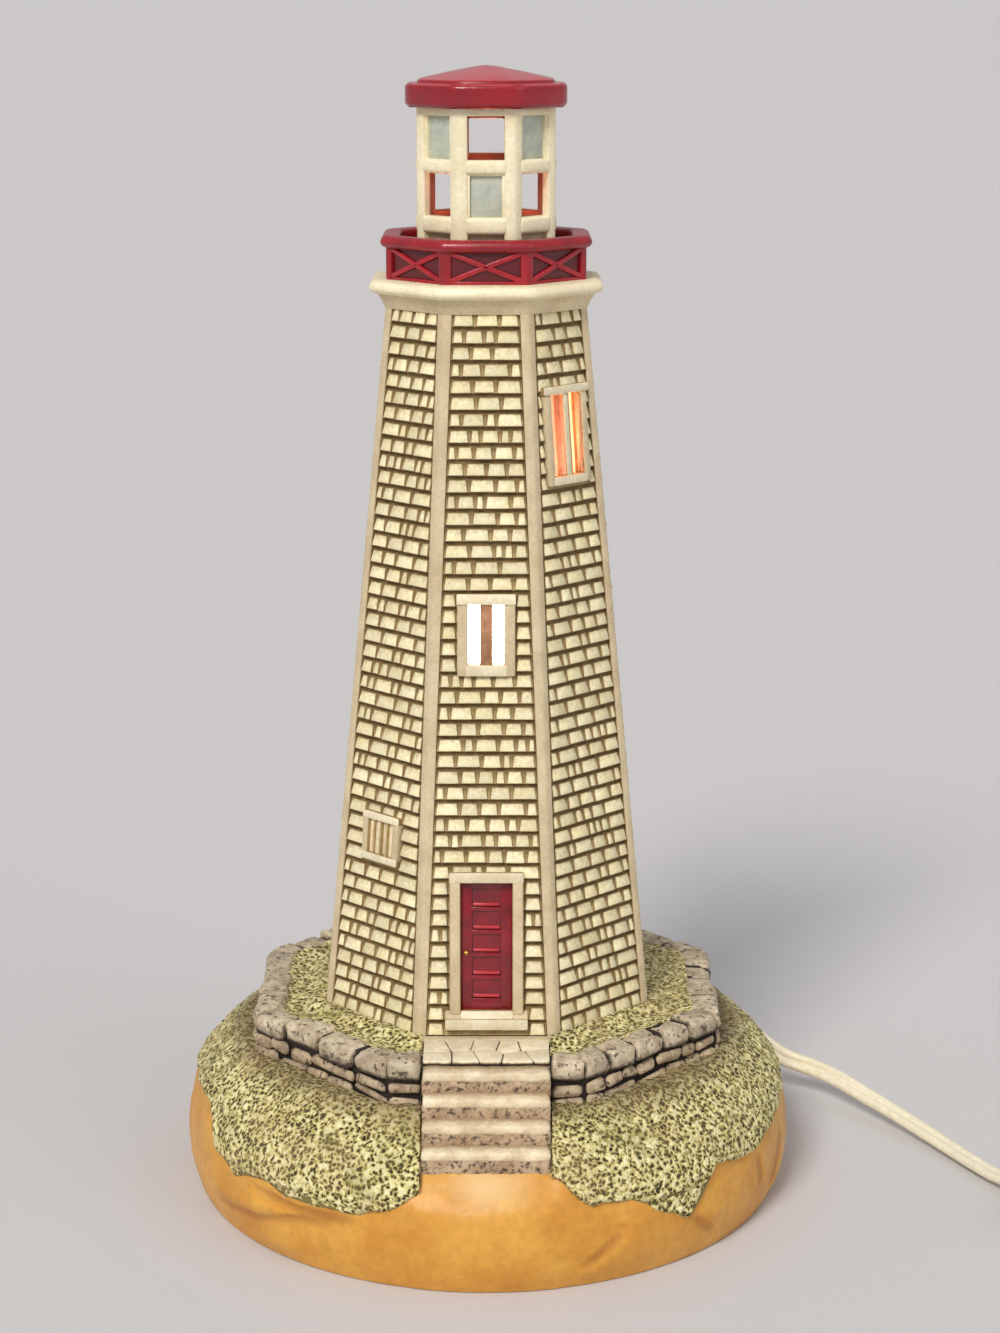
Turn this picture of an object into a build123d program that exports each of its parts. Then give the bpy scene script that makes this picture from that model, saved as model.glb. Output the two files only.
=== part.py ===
from build123d import *

import os
from math import atan2, cos, degrees, hypot, pi, radians, sin, tan

# A slip-cast ceramic lighthouse lamp. Millimetres, +Z up, front towards -Y,
# origin on the floor under the tower's axis.

SIDES = 8
HALF_SIDE = radians(180 / SIDES)
NUT_SIDES = 6
CORD_SIDES = 6

# Base casting: sand, grass mound, octagonal stone wall, terrace and steps
sand_half_width = 83.8
sand_half_depth = 88.3
sand_belly_height = 11.0
sand_height = 21.0
sand_foot_inset = 3.2
sand_top_inset = 1.6
mound_height = 20.0
mound_lip_overhang = 0.8
turf_thickness = 1.1
turf_lowest = 10.0
mound_shoulder_share = 0.62
mound_shoulder_rise = 12.0
wall_apothem = 61.8
wall_height = 12.0
wall_ledge = 0.8
coping_width = 6.0
coping_round = 1.6
terrace_drop = 1.2
plinth_ledge = 2.7
plinth_height = 1.6
deck_thickness = 6.9
base_wall = 6.0
rim_height = 4.0
rim_wall = 3.0
rim_clearance = 0.6
stair_width = 33.0
step_count = 4
step_rise = 5.3
stair_setback = 8.5
landing_depth = 17.0
landing_setback = 0.8
first_drop = 1.6
apron_fall = 15.2

# Tower casting
tower_foot_apothem = 43.9
tower_top_apothem = 26.0
tower_height = 190.4
tower_wall = 4.5
pilaster_half_width = 2.1
panel_depth = 0.8
course_pitch = 4.25
course_height = 3.4
course_foot_proud = 0.75
course_head_proud = 0.3
course_inset = 0.15
course_root = 0.4
flange_overhang = 3.8
flange_cove_height = 3.4
flange_bead_height = 3.2
flange_round = 1.5
gallery_deck = 2.9
light_hole_radius = 13.0
frame_proud = 1.1

# Door in the front face; heights are above the tower's foot
door_width = 13.9
door_sill = 6.8
door_height = 35.1
door_jamb = 2.8
door_lintel = 2.7
door_depth = 1.4
door_panels = 5
door_panel_width = 7.4
door_panel_height = 4.9
door_panel_pitch = 6.2
door_panel_rise = 0.65
door_panel_sunk = 0.6
doorstep_width = 21.8
doorstep_height = 2.7
threshold_height = 1.7
doorstep_proud = 1.8

# Windows; each has its sill height above the tower's foot
front_window_sill = 99.4
front_slot_width = 3.1
front_slot_height = 16.0
front_mullion = 3.3
front_frame = 2.7
right_window_drop = 21.6
right_slot_width = 4.4
right_slot_height = 21.6
right_mullion = 2.2
right_frame = 2.0
left_window_sill = 45.6
left_pane_width = 10.0
left_pane_height = 9.4
left_frame = 1.8
left_pane_depth = 0.9
left_plank_count = 4
left_plank_gap = 0.5

# Gallery railing
railing_setback = 3.8
railing_wall = 3.4
railing_height = 11.3
railing_panel_depth = 0.7
railing_post_width = 3.3
railing_foot_height = 1.6
brace_width = 1.5
top_rail_proud = 1.4
top_rail_height = 3.0
top_rail_round = 1.2

# Lantern room, from the gallery deck upwards
lantern_apothem = 17.65
lantern_wall = 3.2
light_width = 9.5
dado_sill = 1.2
dado_height = 11.7
dado_depth = 1.6
sill_rail = 3.7
lower_light_height = 11.0
mid_rail = 3.5
upper_light_height = 11.5
head_rail = 1.5
pane_depth = 1.4

# Roof cap
brim_overhang = 3.15
brim_height = 6.0
brim_round = 1.6
brim_ledge = 3.0
cone_height = 4.5
cone_tip_apothem = 0.8
roof_spigot_height = 2.6
roof_spigot_wall = 2.4
roof_hollow_height = 3.0
spigot_clearance = 0.4

# Lamp fitting
nipple_diameter = 10.3
nipple_bore = 6.6
nipple_hole_clearance = 0.35
nipple_below_deck = 9.5
nipple_above_deck = 12.0
washer_diameter = 25.0
washer_thickness = 1.5
locknut_across_flats = 14.3
locknut_thickness = 3.5
hub_radius = 8.0
hub_height = 4.0
socket_cap_dome = 7.0
socket_cap_rim = 6.0
socket_metal = 0.9
shell_height = 40.0
shell_wall = 0.6
shell_clearance = 0.15
liner_wall = 0.8
liner_clearance = 0.15
socket_body_height = 12.0
thread_clearance = 0.35
body_margin = 0.1
screw_shell_wall = 0.4
screw_shell_height = 25.0
screw_shell_hole = 8.0
contact_radius = 3.0
contact_height = 4.2
contact_sunk = 2.0

# Bulb
bulb_gap = 0.3
tip_radius = 4.0
tip_height = 2.0
insulator_radius = 11.0
insulator_height = 4.0
bulb_cap_radius = 12.9
bulb_cap_wall = 0.4
bulb_cap_height = 19.0
neck_clearance = 0.3
neck_height = 11.0
swell_radius = 23.8
swell_angle = 35.0
glass_wall = 0.8
glass_fit = 0.15
stem_radius = 3.2
stem_height = 27.0
stem_flare = 1.5
wire_radius = 0.5
filament_span = 14.0
filament_rise = 18.0

# Cord: a flat twin lead, drawn as a tube of its mean thickness
cord_diameter = 4.0
cord_clearance = 0.2
grommet_azimuth = 31.0
grommet_height = 20.5
grommet_sunk = 5.4
grommet_flange_radius = 7.0
grommet_flange = 2.2
grommet_barrel_radius = 4.6
grommet_barrel = 9.0
grommet_clearance = 0.2
cord_straight = 9.0
bend_share = 0.45
lead_turn_share = 0.45
lead_bend = 20.0
lead_drop = 6.0

# In-line switch, standing on the floor; its place is measured from the cord's exit
switch_offset = (100.0, -112.1)
switch_straight = 11.7
switch_heading = -60.0
switch_length = 60.0
switch_width = 24.0
switch_half_height = 6.5
switch_corner = 6.0
switch_edge_round = 2.0
wheel_radius = 10.0
wheel_thickness = 5.0
wheel_offset = 4.6
wheel_clearance = 0.35
wheel_notches = 24
wheel_notch_radius = 0.45
pin_radius = 2.0
pin_clearance = 0.05
contact_strip_length = 13.0
contact_strip_width = 4.0
contact_strip_thickness = 0.8
contact_strip_reach = 20.0
switch_screw_radius = 1.4
switch_screw_head = 2.7
switch_screw_head_height = 1.6
switch_screw_length = 10.0
switch_screw_wall = 0.3
screw_clearance = 0.15

# Coil of the put-away length, its tie and the plug, also measured from the cord's exit
coil_offset = (163.0, -118.1)
coil_outer_radius = 39.0
coil_turn_pitch = 5.2
coil_layer_pitch = 6.0
coil_half_turns = 7
link_straight = 15.7
tie_width = 6.0
tie_thickness = 0.8
tie_clearance = 0.2
tie_side_clearance = 0.7
plug_offset = (134.0, -42.1)
plug_length = 32.0
plug_width = 24.0
plug_thickness = 15.0
plug_neck_width = 11.0
plug_neck_thickness = 9.0
plug_round = 2.0
blade_spacing = 12.7
blade_length = 17.0
blade_thickness = 1.5
blade_width = 6.4
blade_round = 1.2
blade_sunk = 6.0

# Levels that follow from the sizes above
mound_top = sand_height + mound_height
wall_top = mound_top + wall_height
terrace_top = wall_top - terrace_drop
tower_foot = terrace_top + plinth_height
deck_bottom = tower_foot - deck_thickness
landing_edge = wall_apothem - landing_setback
stair_foot = wall_top - first_drop - step_count * step_rise
stair_reach = sand_half_depth - stair_setback
step_run = (stair_reach - landing_edge) / step_count
tower_top = tower_foot + tower_height
flange_foot = tower_top + flange_cove_height
flange_apothem = tower_top_apothem + flange_overhang
gallery = flange_foot + flange_bead_height
lower_light_sill = dado_sill + dado_height + sill_rail
upper_light_sill = lower_light_sill + lower_light_height + mid_rail
lantern_height = upper_light_sill + upper_light_height + head_rail
lantern_top = gallery + lantern_height
brim_top = lantern_top + brim_height

os.makedirs("parts", exist_ok=True)


def save(piece, name):
    """Label a finished piece and write it as its own file."""
    piece.part.label = name
    export_step(piece.part, f"parts/{name}.step")


def octagon(apothem, mode=Mode.ADD):
    """An octagon with flats to the front, back and sides."""
    return RegularPolygon(apothem, SIDES, major_radius=False, rotation=degrees(HALF_SIDE), mode=mode)


def face_direction(index):
    """Azimuth of face number index; face 0 is the front, and they go round to the right."""
    return radians(-90 + 360 / SIDES * index)


def upright_face(index, apothem, level):
    """Plane on an upright octagon face, x to the right and y up from level."""
    azimuth = face_direction(index)
    outward = Vector(cos(azimuth), sin(azimuth), 0)
    return Plane(outward * apothem + Vector(0, 0, level), Vector(-sin(azimuth), cos(azimuth), 0), outward)


tower_lean = (tower_foot_apothem - tower_top_apothem) / tower_height
slope_length = hypot(1, tower_lean)


def tower_face(index, inset=0.0):
    """Plane on a leaning tower face, y up the slope from the tower's foot."""
    azimuth = face_direction(index)
    flat = Vector(cos(azimuth), sin(azimuth), 0)
    outward = (flat + Vector(0, 0, tower_lean)).normalized()
    origin = flat * tower_foot_apothem + Vector(0, 0, tower_foot) - outward * inset
    return Plane(origin, Vector(-sin(azimuth), cos(azimuth), 0), outward)


def up_slope(height):
    """Distance up a tower face for a height above the tower's foot."""
    return height * slope_length


# Base casting
stair_profile = [(-(landing_edge - landing_depth), stair_foot - base_wall)]
stair_profile += [(-(landing_edge - landing_depth), wall_top), (-landing_edge, wall_top)]
for step in range(step_count):
    tread = wall_top - first_drop - step * step_rise
    nose = landing_edge + (step + 1) * step_run
    stair_profile += [(-(nose - step_run), tread), (-nose, tread)]
stair_profile += [(-stair_reach, stair_foot - base_wall)]
corridor_end = sand_half_depth + base_wall
corridor_profile = [
    (-landing_edge, stair_foot),
    (-stair_reach, stair_foot),
    (-corridor_end, stair_foot - apron_fall),
    (-corridor_end, wall_top + base_wall),
    (-landing_edge, wall_top + base_wall),
]
mound_rim_width = sand_half_width - sand_top_inset + mound_lip_overhang
mound_rim_depth = sand_half_depth - sand_top_inset + mound_lip_overhang
mound_top_radius = wall_apothem / cos(HALF_SIDE) + wall_ledge
shoulder_width = mound_top_radius + (mound_rim_width - mound_top_radius) * mound_shoulder_share
shoulder_depth = mound_top_radius + (mound_rim_depth - mound_top_radius) * mound_shoulder_share
cavity_radius = wall_apothem - base_wall
turf_reach = max(sand_half_width, sand_half_depth) + base_wall
turf_edge = [  # degrees from the front and level of the turf's wavy lower edge
    (-180, 25), (-165, 21), (-148, 26), (-126, 20), (-104, 26.5), (-84, 30), (-66, 30), (-58, 22.5),
    (-51, 18.7), (-43, 22), (-37, 19.4), (-22, 20), (-14, 25), (-9.5, 30.5), (12.5, 30.5), (19, 23.3),
    (26, 23.3), (31, 18.5), (37.5, 14.2), (45, 25), (55, 22.3), (68, 25.4), (90, 28), (104, 24),
    (116, 21), (138, 27), (160, 21), (180, 25),
]
grommet_direction = radians(grommet_azimuth)
sand_reach = 1 / hypot(cos(grommet_direction) / sand_half_width, sin(grommet_direction) / sand_half_depth)
grommet_seat = sand_reach - grommet_sunk
grommet_plane = Plane(
    (grommet_seat * cos(grommet_direction), grommet_seat * sin(grommet_direction), grommet_height),
    (-sin(grommet_direction), cos(grommet_direction), 0),
    (cos(grommet_direction), sin(grommet_direction), 0),
)

with BuildPart() as turf:
    with BuildSketch(Plane.XY.offset(turf_lowest)):
        Ellipse(sand_half_width + turf_thickness, sand_half_depth + turf_thickness)
    with BuildSketch(Plane.XY.offset(sand_height)):
        Ellipse(mound_rim_width + turf_thickness, mound_rim_depth + turf_thickness)
    with BuildSketch(Plane.XY.offset(sand_height + mound_shoulder_rise)):
        Ellipse(shoulder_width + turf_thickness, shoulder_depth + turf_thickness)
    with BuildSketch(Plane.XY.offset(mound_top)):
        Circle(mound_top_radius + turf_thickness / 2)
    loft()
    for (turn, level), (next_turn, next_level) in zip(turf_edge, turf_edge[1:]):
        azimuth = radians(-90 + (turn + next_turn) / 2)
        outward = Vector(cos(azimuth), sin(azimuth), 0)
        half = turf_reach * tan(radians(next_turn - turn) / 2)
        with BuildSketch(Plane(outward * cavity_radius, Vector(-sin(azimuth), cos(azimuth), 0), outward)):
            Polygon((-half, 0), (half, 0), (half, next_level), (-half, level), align=None)
        extrude(amount=turf_reach - cavity_radius, mode=Mode.SUBTRACT)

with BuildPart() as base_casting:
    with BuildSketch(Plane.XY):
        Ellipse(sand_half_width - sand_foot_inset, sand_half_depth - sand_foot_inset)
    with BuildSketch(Plane.XY.offset(sand_belly_height)):
        Ellipse(sand_half_width, sand_half_depth)
    with BuildSketch(Plane.XY.offset(sand_height)):
        Ellipse(sand_half_width - sand_top_inset, sand_half_depth - sand_top_inset)
    loft()
    with BuildSketch(Plane.XY.offset(sand_height)):
        Ellipse(mound_rim_width, mound_rim_depth)
    with BuildSketch(Plane.XY.offset(sand_height + mound_shoulder_rise)):
        Ellipse(shoulder_width, shoulder_depth)
    with BuildSketch(Plane.XY.offset(mound_top)):
        Circle(mound_top_radius)
    loft()
    add(turf.part)
    with BuildSketch(Plane.XY.offset(mound_top)):
        octagon(wall_apothem)
    extrude(amount=wall_height)
    fillet(faces().sort_by(Axis.Z)[-1].outer_wire().edges(), coping_round)
    with BuildSketch(Plane.XY.offset(terrace_top)):
        octagon(wall_apothem - coping_width)
    extrude(amount=terrace_drop, mode=Mode.SUBTRACT)
    with BuildSketch(Plane.YZ):
        Polygon(*corridor_profile, align=None)
    extrude(amount=stair_width / 2, both=True, mode=Mode.SUBTRACT)
    with BuildSketch(Plane.YZ):
        Polygon(*stair_profile, align=None)
    extrude(amount=stair_width / 2, both=True)
    with BuildSketch(Plane.XY.offset(terrace_top)):
        octagon(tower_foot_apothem + plinth_ledge)
    extrude(amount=plinth_height)
    rim_apothem = tower_foot_apothem - tower_wall - rim_clearance
    with BuildSketch(Plane.XY.offset(tower_foot)):
        octagon(rim_apothem)
        octagon(rim_apothem - rim_wall, mode=Mode.SUBTRACT)
    extrude(amount=rim_height)
    cavity_rim_width = sand_half_width - sand_foot_inset - base_wall
    cavity_rim_depth = sand_half_depth - sand_foot_inset - base_wall
    with BuildSketch(Plane.XY):
        Ellipse(cavity_rim_width, cavity_rim_depth)
    with BuildSketch(Plane.XY.offset(sand_belly_height)):
        Ellipse(cavity_rim_width, cavity_rim_depth)
    with BuildSketch(Plane.XY.offset(stair_foot - base_wall)):
        Ellipse(cavity_rim_width, stair_reach - base_wall)
    with BuildSketch(Plane.XY.offset(mound_top)):
        Circle(cavity_radius)
    with BuildSketch(Plane.XY.offset(deck_bottom)):
        Circle(cavity_radius)
    loft(ruled=True, mode=Mode.SUBTRACT)
    with BuildSketch(Plane.XY.offset(deck_bottom)):
        Circle(nipple_diameter / 2 + nipple_hole_clearance)
    extrude(amount=deck_thickness, mode=Mode.SUBTRACT)
    with BuildSketch(grommet_plane):
        Circle(grommet_flange_radius + grommet_clearance)
    extrude(amount=2 * grommet_sunk, mode=Mode.SUBTRACT)
    with BuildSketch(grommet_plane):
        Circle(grommet_barrel_radius + grommet_clearance)
    extrude(amount=-2 * base_wall, mode=Mode.SUBTRACT)
save(base_casting, "base_casting")


# Tower casting
def panel_frame(face, sill, width, height, proud):
    """A flat rectangle standing proud of a tower face, from its sill upwards."""
    with BuildSketch(tower_face(face, panel_depth)) as outline:
        with Locations((0, up_slope(sill) + height / 2)):
            Rectangle(width, height)
    extrude(outline.sketch, amount=panel_depth + proud)


def panel_opening(face, sill, width, height, depth, across=0.0):
    """The room of a rectangle let into a tower face, depth measured from the brick panel."""
    with BuildSketch(tower_face(face, -frame_proud)) as outline:
        with Locations((across, up_slope(sill) + height / 2)):
            Rectangle(width, height)
    extrude(outline.sketch, amount=-(frame_proud + panel_depth + depth))


def twin_frame(face, sill, slot_width, slot_height, mullion, frame):
    """The frame round a window of two upright slots."""
    frame_width = 2 * slot_width + mullion + 2 * frame
    panel_frame(face, sill - frame, frame_width, slot_height + 2 * frame, frame_proud)


def twin_slots(face, sill, slot_width, slot_height, mullion):
    """The room of two upright slots that go through the wall."""
    for side in (-1, 1):
        across = side * (slot_width + mullion) / 2
        panel_opening(face, sill, slot_width, slot_height, 2 * tower_wall, across)


panel_foot = tower_foot_apothem * tan(HALF_SIDE) - pilaster_half_width
panel_head = tower_top_apothem * tan(HALF_SIDE) - pilaster_half_width
panel_length = up_slope(tower_height)
panel_outline = [
    (-panel_foot, 0),
    (panel_foot, 0),
    (panel_head, panel_length),
    (-panel_head, panel_length),
]
course_outline = [
    (-panel_foot + course_inset, 0),
    (panel_foot - course_inset, 0),
    (panel_head - course_inset, panel_length),
    (-panel_head + course_inset, panel_length),
]
course_count = round(panel_length / course_pitch)
course_joint = course_pitch - course_height
doorstep_foot = up_slope(door_sill) - threshold_height - doorstep_height
doorstep_profile = [
    (course_root, doorstep_foot),
    (-panel_depth - doorstep_proud, doorstep_foot),
    (-panel_depth - doorstep_proud, doorstep_foot + doorstep_height),
    (-panel_depth, up_slope(door_sill)),
    (course_root, up_slope(door_sill)),
]
FRONT, RIGHT, LEFT = 0, 1, SIDES - 1
right_window_sill = tower_height - right_window_drop - right_slot_height
tower_cavity_top = gallery - gallery_deck

brick_floor = tower_face(FRONT, panel_depth)
face_section = Plane(brick_floor.origin, -brick_floor.z_dir, brick_floor.x_dir)

with BuildPart() as brick_courses:
    with BuildSketch(face_section):
        for course in range(course_count):
            foot = course_joint / 2 + course * course_pitch
            head = foot + course_height
            Polygon(
                (course_root, foot),
                (course_root, head),
                (-course_head_proud, head),
                (-course_foot_proud, foot),
                align=None,
            )
    extrude(amount=panel_foot, both=True)
    with BuildSketch(brick_floor):
        Polygon(*course_outline, align=None)
    extrude(amount=course_foot_proud, mode=Mode.INTERSECT)

with BuildPart() as face_trim:
    panel_frame(
        FRONT, door_sill, door_width + 2 * door_jamb, up_slope(door_height) + door_lintel, frame_proud
    )
    with BuildSketch(face_section):
        Polygon(*doorstep_profile, align=None)
    extrude(amount=doorstep_width / 2, both=True)
    twin_frame(FRONT, front_window_sill, front_slot_width, front_slot_height, front_mullion, front_frame)
    twin_frame(RIGHT, right_window_sill, right_slot_width, right_slot_height, right_mullion, right_frame)
    panel_frame(
        LEFT,
        left_window_sill - left_frame,
        left_pane_width + 2 * left_frame,
        left_pane_height + 2 * left_frame,
        frame_proud,
    )

with BuildPart() as face_openings:
    panel_opening(FRONT, door_sill, door_width, up_slope(door_height), door_depth)
    with BuildSketch(tower_face(FRONT, panel_depth + door_depth)):
        with Locations((0, up_slope(door_sill) + up_slope(door_height) / 2 + door_panel_rise)):
            with GridLocations(0, door_panel_pitch, 1, door_panels):
                Rectangle(door_panel_width, door_panel_height)
    extrude(amount=-door_panel_sunk)
    twin_slots(FRONT, front_window_sill, front_slot_width, front_slot_height, front_mullion)
    twin_slots(RIGHT, right_window_sill, right_slot_width, right_slot_height, right_mullion)
    plank_pitch = left_pane_width / left_plank_count
    for plank in range(left_plank_count):
        across = (plank + 0.5) * plank_pitch - left_pane_width / 2
        width = plank_pitch - left_plank_gap
        panel_opening(LEFT, left_window_sill, width, left_pane_height, left_pane_depth - panel_depth, across)

with BuildPart() as tower_casting:
    with BuildSketch(Plane.XY.offset(flange_foot)):
        octagon(flange_apothem)
    extrude(amount=flange_bead_height)
    fillet(edges().group_by(Axis.Z)[0] + edges().group_by(Axis.Z)[-1], flange_round)
    with BuildSketch(Plane.XY.offset(tower_top)):
        octagon(tower_top_apothem)
    with BuildSketch(Plane.XY.offset(flange_foot)):
        octagon(flange_apothem - flange_round)
    loft(ruled=True)
    with BuildSketch(Plane.XY.offset(tower_foot)):
        octagon(tower_foot_apothem)
    with BuildSketch(Plane.XY.offset(tower_top)):
        octagon(tower_top_apothem)
    loft(ruled=True)
    for index in range(SIDES):
        with BuildSketch(tower_face(index)):
            Polygon(*panel_outline, align=None)
        extrude(amount=-panel_depth, mode=Mode.SUBTRACT)
    with BuildSketch(Plane.XY.offset(tower_foot)):
        octagon(tower_foot_apothem - tower_wall)
    with BuildSketch(Plane.XY.offset(tower_top)):
        octagon(tower_top_apothem - tower_wall)
    with BuildSketch(Plane.XY.offset(tower_cavity_top)):
        octagon(tower_top_apothem - tower_wall)
    loft(ruled=True, mode=Mode.SUBTRACT)
    with BuildSketch(Plane.XY.offset(tower_cavity_top)):
        Circle(light_hole_radius)
    extrude(amount=gallery_deck, mode=Mode.SUBTRACT)
    with PolarLocations(0, SIDES):
        add(brick_courses.part)
    add(face_trim.part)
    add(face_openings.part, mode=Mode.SUBTRACT)
save(tower_casting, "tower_casting")


# Gallery railing: a ring of crossed panels between corner posts, with a rounded top rail
railing_apothem = flange_apothem - railing_setback
panel_side = 2 * railing_apothem * tan(HALF_SIDE) - railing_post_width
brace_foot = railing_foot_height
brace_head = railing_height - top_rail_height
brace_tilt = degrees(atan2(brace_head - brace_foot, panel_side))
brace_length = hypot(brace_head - brace_foot, panel_side)

with BuildPart() as gallery_railing:
    with BuildSketch(Plane.XY.offset(gallery + brace_head)):
        octagon(railing_apothem + top_rail_proud)
    extrude(amount=top_rail_height)
    fillet(edges().group_by(Axis.Z)[0] + edges().group_by(Axis.Z)[-1], top_rail_round)
    with BuildSketch(Plane.XY.offset(gallery)):
        octagon(railing_apothem)
    extrude(amount=brace_head)
    for index in range(SIDES):
        with BuildSketch(upright_face(index, railing_apothem, gallery)):
            with Locations((0, (brace_foot + brace_head) / 2)):
                Rectangle(panel_side, brace_head - brace_foot)
                Rectangle(brace_length, brace_width, rotation=brace_tilt, mode=Mode.SUBTRACT)
                Rectangle(brace_length, brace_width, rotation=-brace_tilt, mode=Mode.SUBTRACT)
        extrude(amount=-railing_panel_depth, mode=Mode.SUBTRACT)
    with BuildSketch(Plane.XY.offset(gallery)):
        octagon(railing_apothem - railing_wall)
    extrude(amount=railing_height, mode=Mode.SUBTRACT)
save(gallery_railing, "gallery_railing")


# Lantern room: open and closed lights in a checkerboard round the eight sides
with BuildPart() as lantern_room:
    with BuildSketch(Plane.XY.offset(gallery)):
        octagon(lantern_apothem)
        octagon(lantern_apothem - lantern_wall, mode=Mode.SUBTRACT)
    extrude(amount=lantern_height)
    for index in range(SIDES):
        upper_open = index % 2 == 0
        cuts = [
            (upper_light_sill, upper_light_height, 2 * lantern_wall if upper_open else pane_depth),
            (lower_light_sill, lower_light_height, pane_depth if upper_open else 2 * lantern_wall),
            (dado_sill, dado_height, dado_depth),
        ]
        for sill, height, depth in cuts:
            with BuildSketch(upright_face(index, lantern_apothem, gallery)):
                with Locations((0, sill + height / 2)):
                    Rectangle(light_width, height)
            extrude(amount=-depth, mode=Mode.SUBTRACT)
save(lantern_room, "lantern_room")


# Roof cap: a rounded brim, a shallow cone and a spigot that drops into the lantern
cone_apothem = lantern_apothem + brim_overhang - brim_ledge

with BuildPart() as roof_cap:
    with BuildSketch(Plane.XY.offset(lantern_top)):
        octagon(lantern_apothem + brim_overhang)
    extrude(amount=brim_height)
    fillet(edges(), brim_round)
    with BuildSketch(Plane.XY.offset(brim_top - brim_round)):
        octagon(cone_apothem)
    extrude(amount=brim_round)
    with BuildSketch(Plane.XY.offset(brim_top)):
        octagon(cone_apothem)
    with BuildSketch(Plane.XY.offset(brim_top + cone_height)):
        octagon(cone_tip_apothem)
    loft(ruled=True)
    spigot_apothem = lantern_apothem - lantern_wall - spigot_clearance
    with BuildSketch(Plane.XY.offset(lantern_top - roof_spigot_height)):
        octagon(spigot_apothem)
    extrude(amount=roof_spigot_height + brim_round)
    with BuildSketch(Plane.XY.offset(lantern_top - roof_spigot_height)):
        octagon(spigot_apothem - roof_spigot_wall)
    extrude(amount=roof_spigot_height + roof_hollow_height, mode=Mode.SUBTRACT)
save(roof_cap, "roof_cap")


# Threaded nipple through the deck, with a washer and a locknut on each side
nipple_hole = nipple_diameter / 2 + nipple_hole_clearance
nut_above = tower_foot + washer_thickness
cap_foot = nut_above + locknut_thickness

with BuildPart() as threaded_nipple:
    with BuildSketch(Plane.XY.offset(deck_bottom - nipple_below_deck)):
        Circle(nipple_diameter / 2)
        Circle(nipple_bore / 2, mode=Mode.SUBTRACT)
    extrude(amount=nipple_below_deck + deck_thickness + nipple_above_deck)
save(threaded_nipple, "threaded_nipple")

with BuildPart() as nipple_washers:
    for level in (deck_bottom - washer_thickness, tower_foot):
        with BuildSketch(Plane.XY.offset(level)):
            Circle(washer_diameter / 2)
            Circle(nipple_hole, mode=Mode.SUBTRACT)
        extrude(amount=washer_thickness)
save(nipple_washers, "nipple_washers")

with BuildPart() as nipple_locknuts:
    for level in (deck_bottom - washer_thickness - locknut_thickness, nut_above):
        with BuildSketch(Plane.XY.offset(level)):
            RegularPolygon(locknut_across_flats / 2, NUT_SIDES, major_radius=False)
            Circle(nipple_hole, mode=Mode.SUBTRACT)
        extrude(amount=locknut_thickness)
save(nipple_locknuts, "nipple_locknuts")

# Socket: spun cap on the nipple, shell, liner, moulded body, screw shell and centre contact
cap_floor = cap_foot + hub_height
cap_shoulder = cap_floor + socket_cap_dome
cap_rim = cap_shoulder + socket_cap_rim
screw_shell_radius = bulb_cap_radius + thread_clearance + screw_shell_wall
body_radius = screw_shell_radius + body_margin
liner_radius = body_radius + liner_clearance + liner_wall
shell_radius = liner_radius + liner_clearance + shell_wall
socket_radius = shell_radius + shell_clearance + socket_metal
liner_bore = liner_radius - liner_wall
shell_foot = cap_shoulder
body_foot = cap_shoulder - socket_metal
body_top = body_foot + socket_body_height

with BuildPart() as socket_cap:
    with BuildSketch(Plane.XZ):
        with BuildLine():
            Polyline(
                (nipple_hole, cap_foot),
                (hub_radius, cap_foot),
                (hub_radius, cap_floor - socket_metal),
            )
            ThreePointArc(
                (hub_radius, cap_floor - socket_metal),
                (
                    hub_radius + (socket_radius - hub_radius) * cos(pi / 4),
                    cap_floor - socket_metal + (cap_shoulder - cap_floor) * (1 - sin(pi / 4)),
                ),
                (socket_radius, cap_shoulder - socket_metal),
            )
            Polyline(
                (socket_radius, cap_shoulder - socket_metal),
                (socket_radius, cap_rim),
                (socket_radius - socket_metal, cap_rim),
                (socket_radius - socket_metal, cap_shoulder),
                (liner_bore, cap_shoulder),
                (liner_bore, body_foot),
                (hub_radius, body_foot),
                (hub_radius, cap_floor),
                (nipple_hole, cap_floor),
                (nipple_hole, cap_foot),
            )
        make_face()
    revolve(axis=Axis.Z)
save(socket_cap, "socket_cap")

with BuildPart() as socket_shell:
    with BuildSketch(Plane.XY.offset(shell_foot)):
        Circle(shell_radius)
        Circle(shell_radius - shell_wall, mode=Mode.SUBTRACT)
    extrude(amount=shell_height)
save(socket_shell, "socket_shell")

with BuildPart() as socket_liner:
    with BuildSketch(Plane.XY.offset(shell_foot)):
        Circle(liner_radius)
        Circle(liner_bore, mode=Mode.SUBTRACT)
    extrude(amount=shell_height)
save(socket_liner, "socket_liner")

with BuildPart() as socket_body:
    with BuildSketch(Plane.XY.offset(body_foot)):
        Circle(body_radius)
    extrude(amount=socket_body_height)
    with BuildSketch(Plane.XY.offset(body_top)):
        Circle(contact_radius)
    extrude(amount=-contact_sunk, mode=Mode.SUBTRACT)
save(socket_body, "socket_body")

with BuildPart() as socket_screw_shell:
    with BuildSketch(Plane.XY.offset(body_top)):
        Circle(screw_shell_radius)
        Circle(screw_shell_hole, mode=Mode.SUBTRACT)
    extrude(amount=screw_shell_wall)
    with BuildSketch(Plane.XY.offset(body_top)):
        Circle(screw_shell_radius)
        Circle(screw_shell_radius - screw_shell_wall, mode=Mode.SUBTRACT)
    extrude(amount=screw_shell_height)
save(socket_screw_shell, "socket_screw_shell")

with BuildPart() as socket_centre_contact:
    with BuildSketch(Plane.XY.offset(body_top - contact_sunk)):
        Circle(contact_radius)
    extrude(amount=contact_height)
save(socket_centre_contact, "socket_centre_contact")

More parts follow.
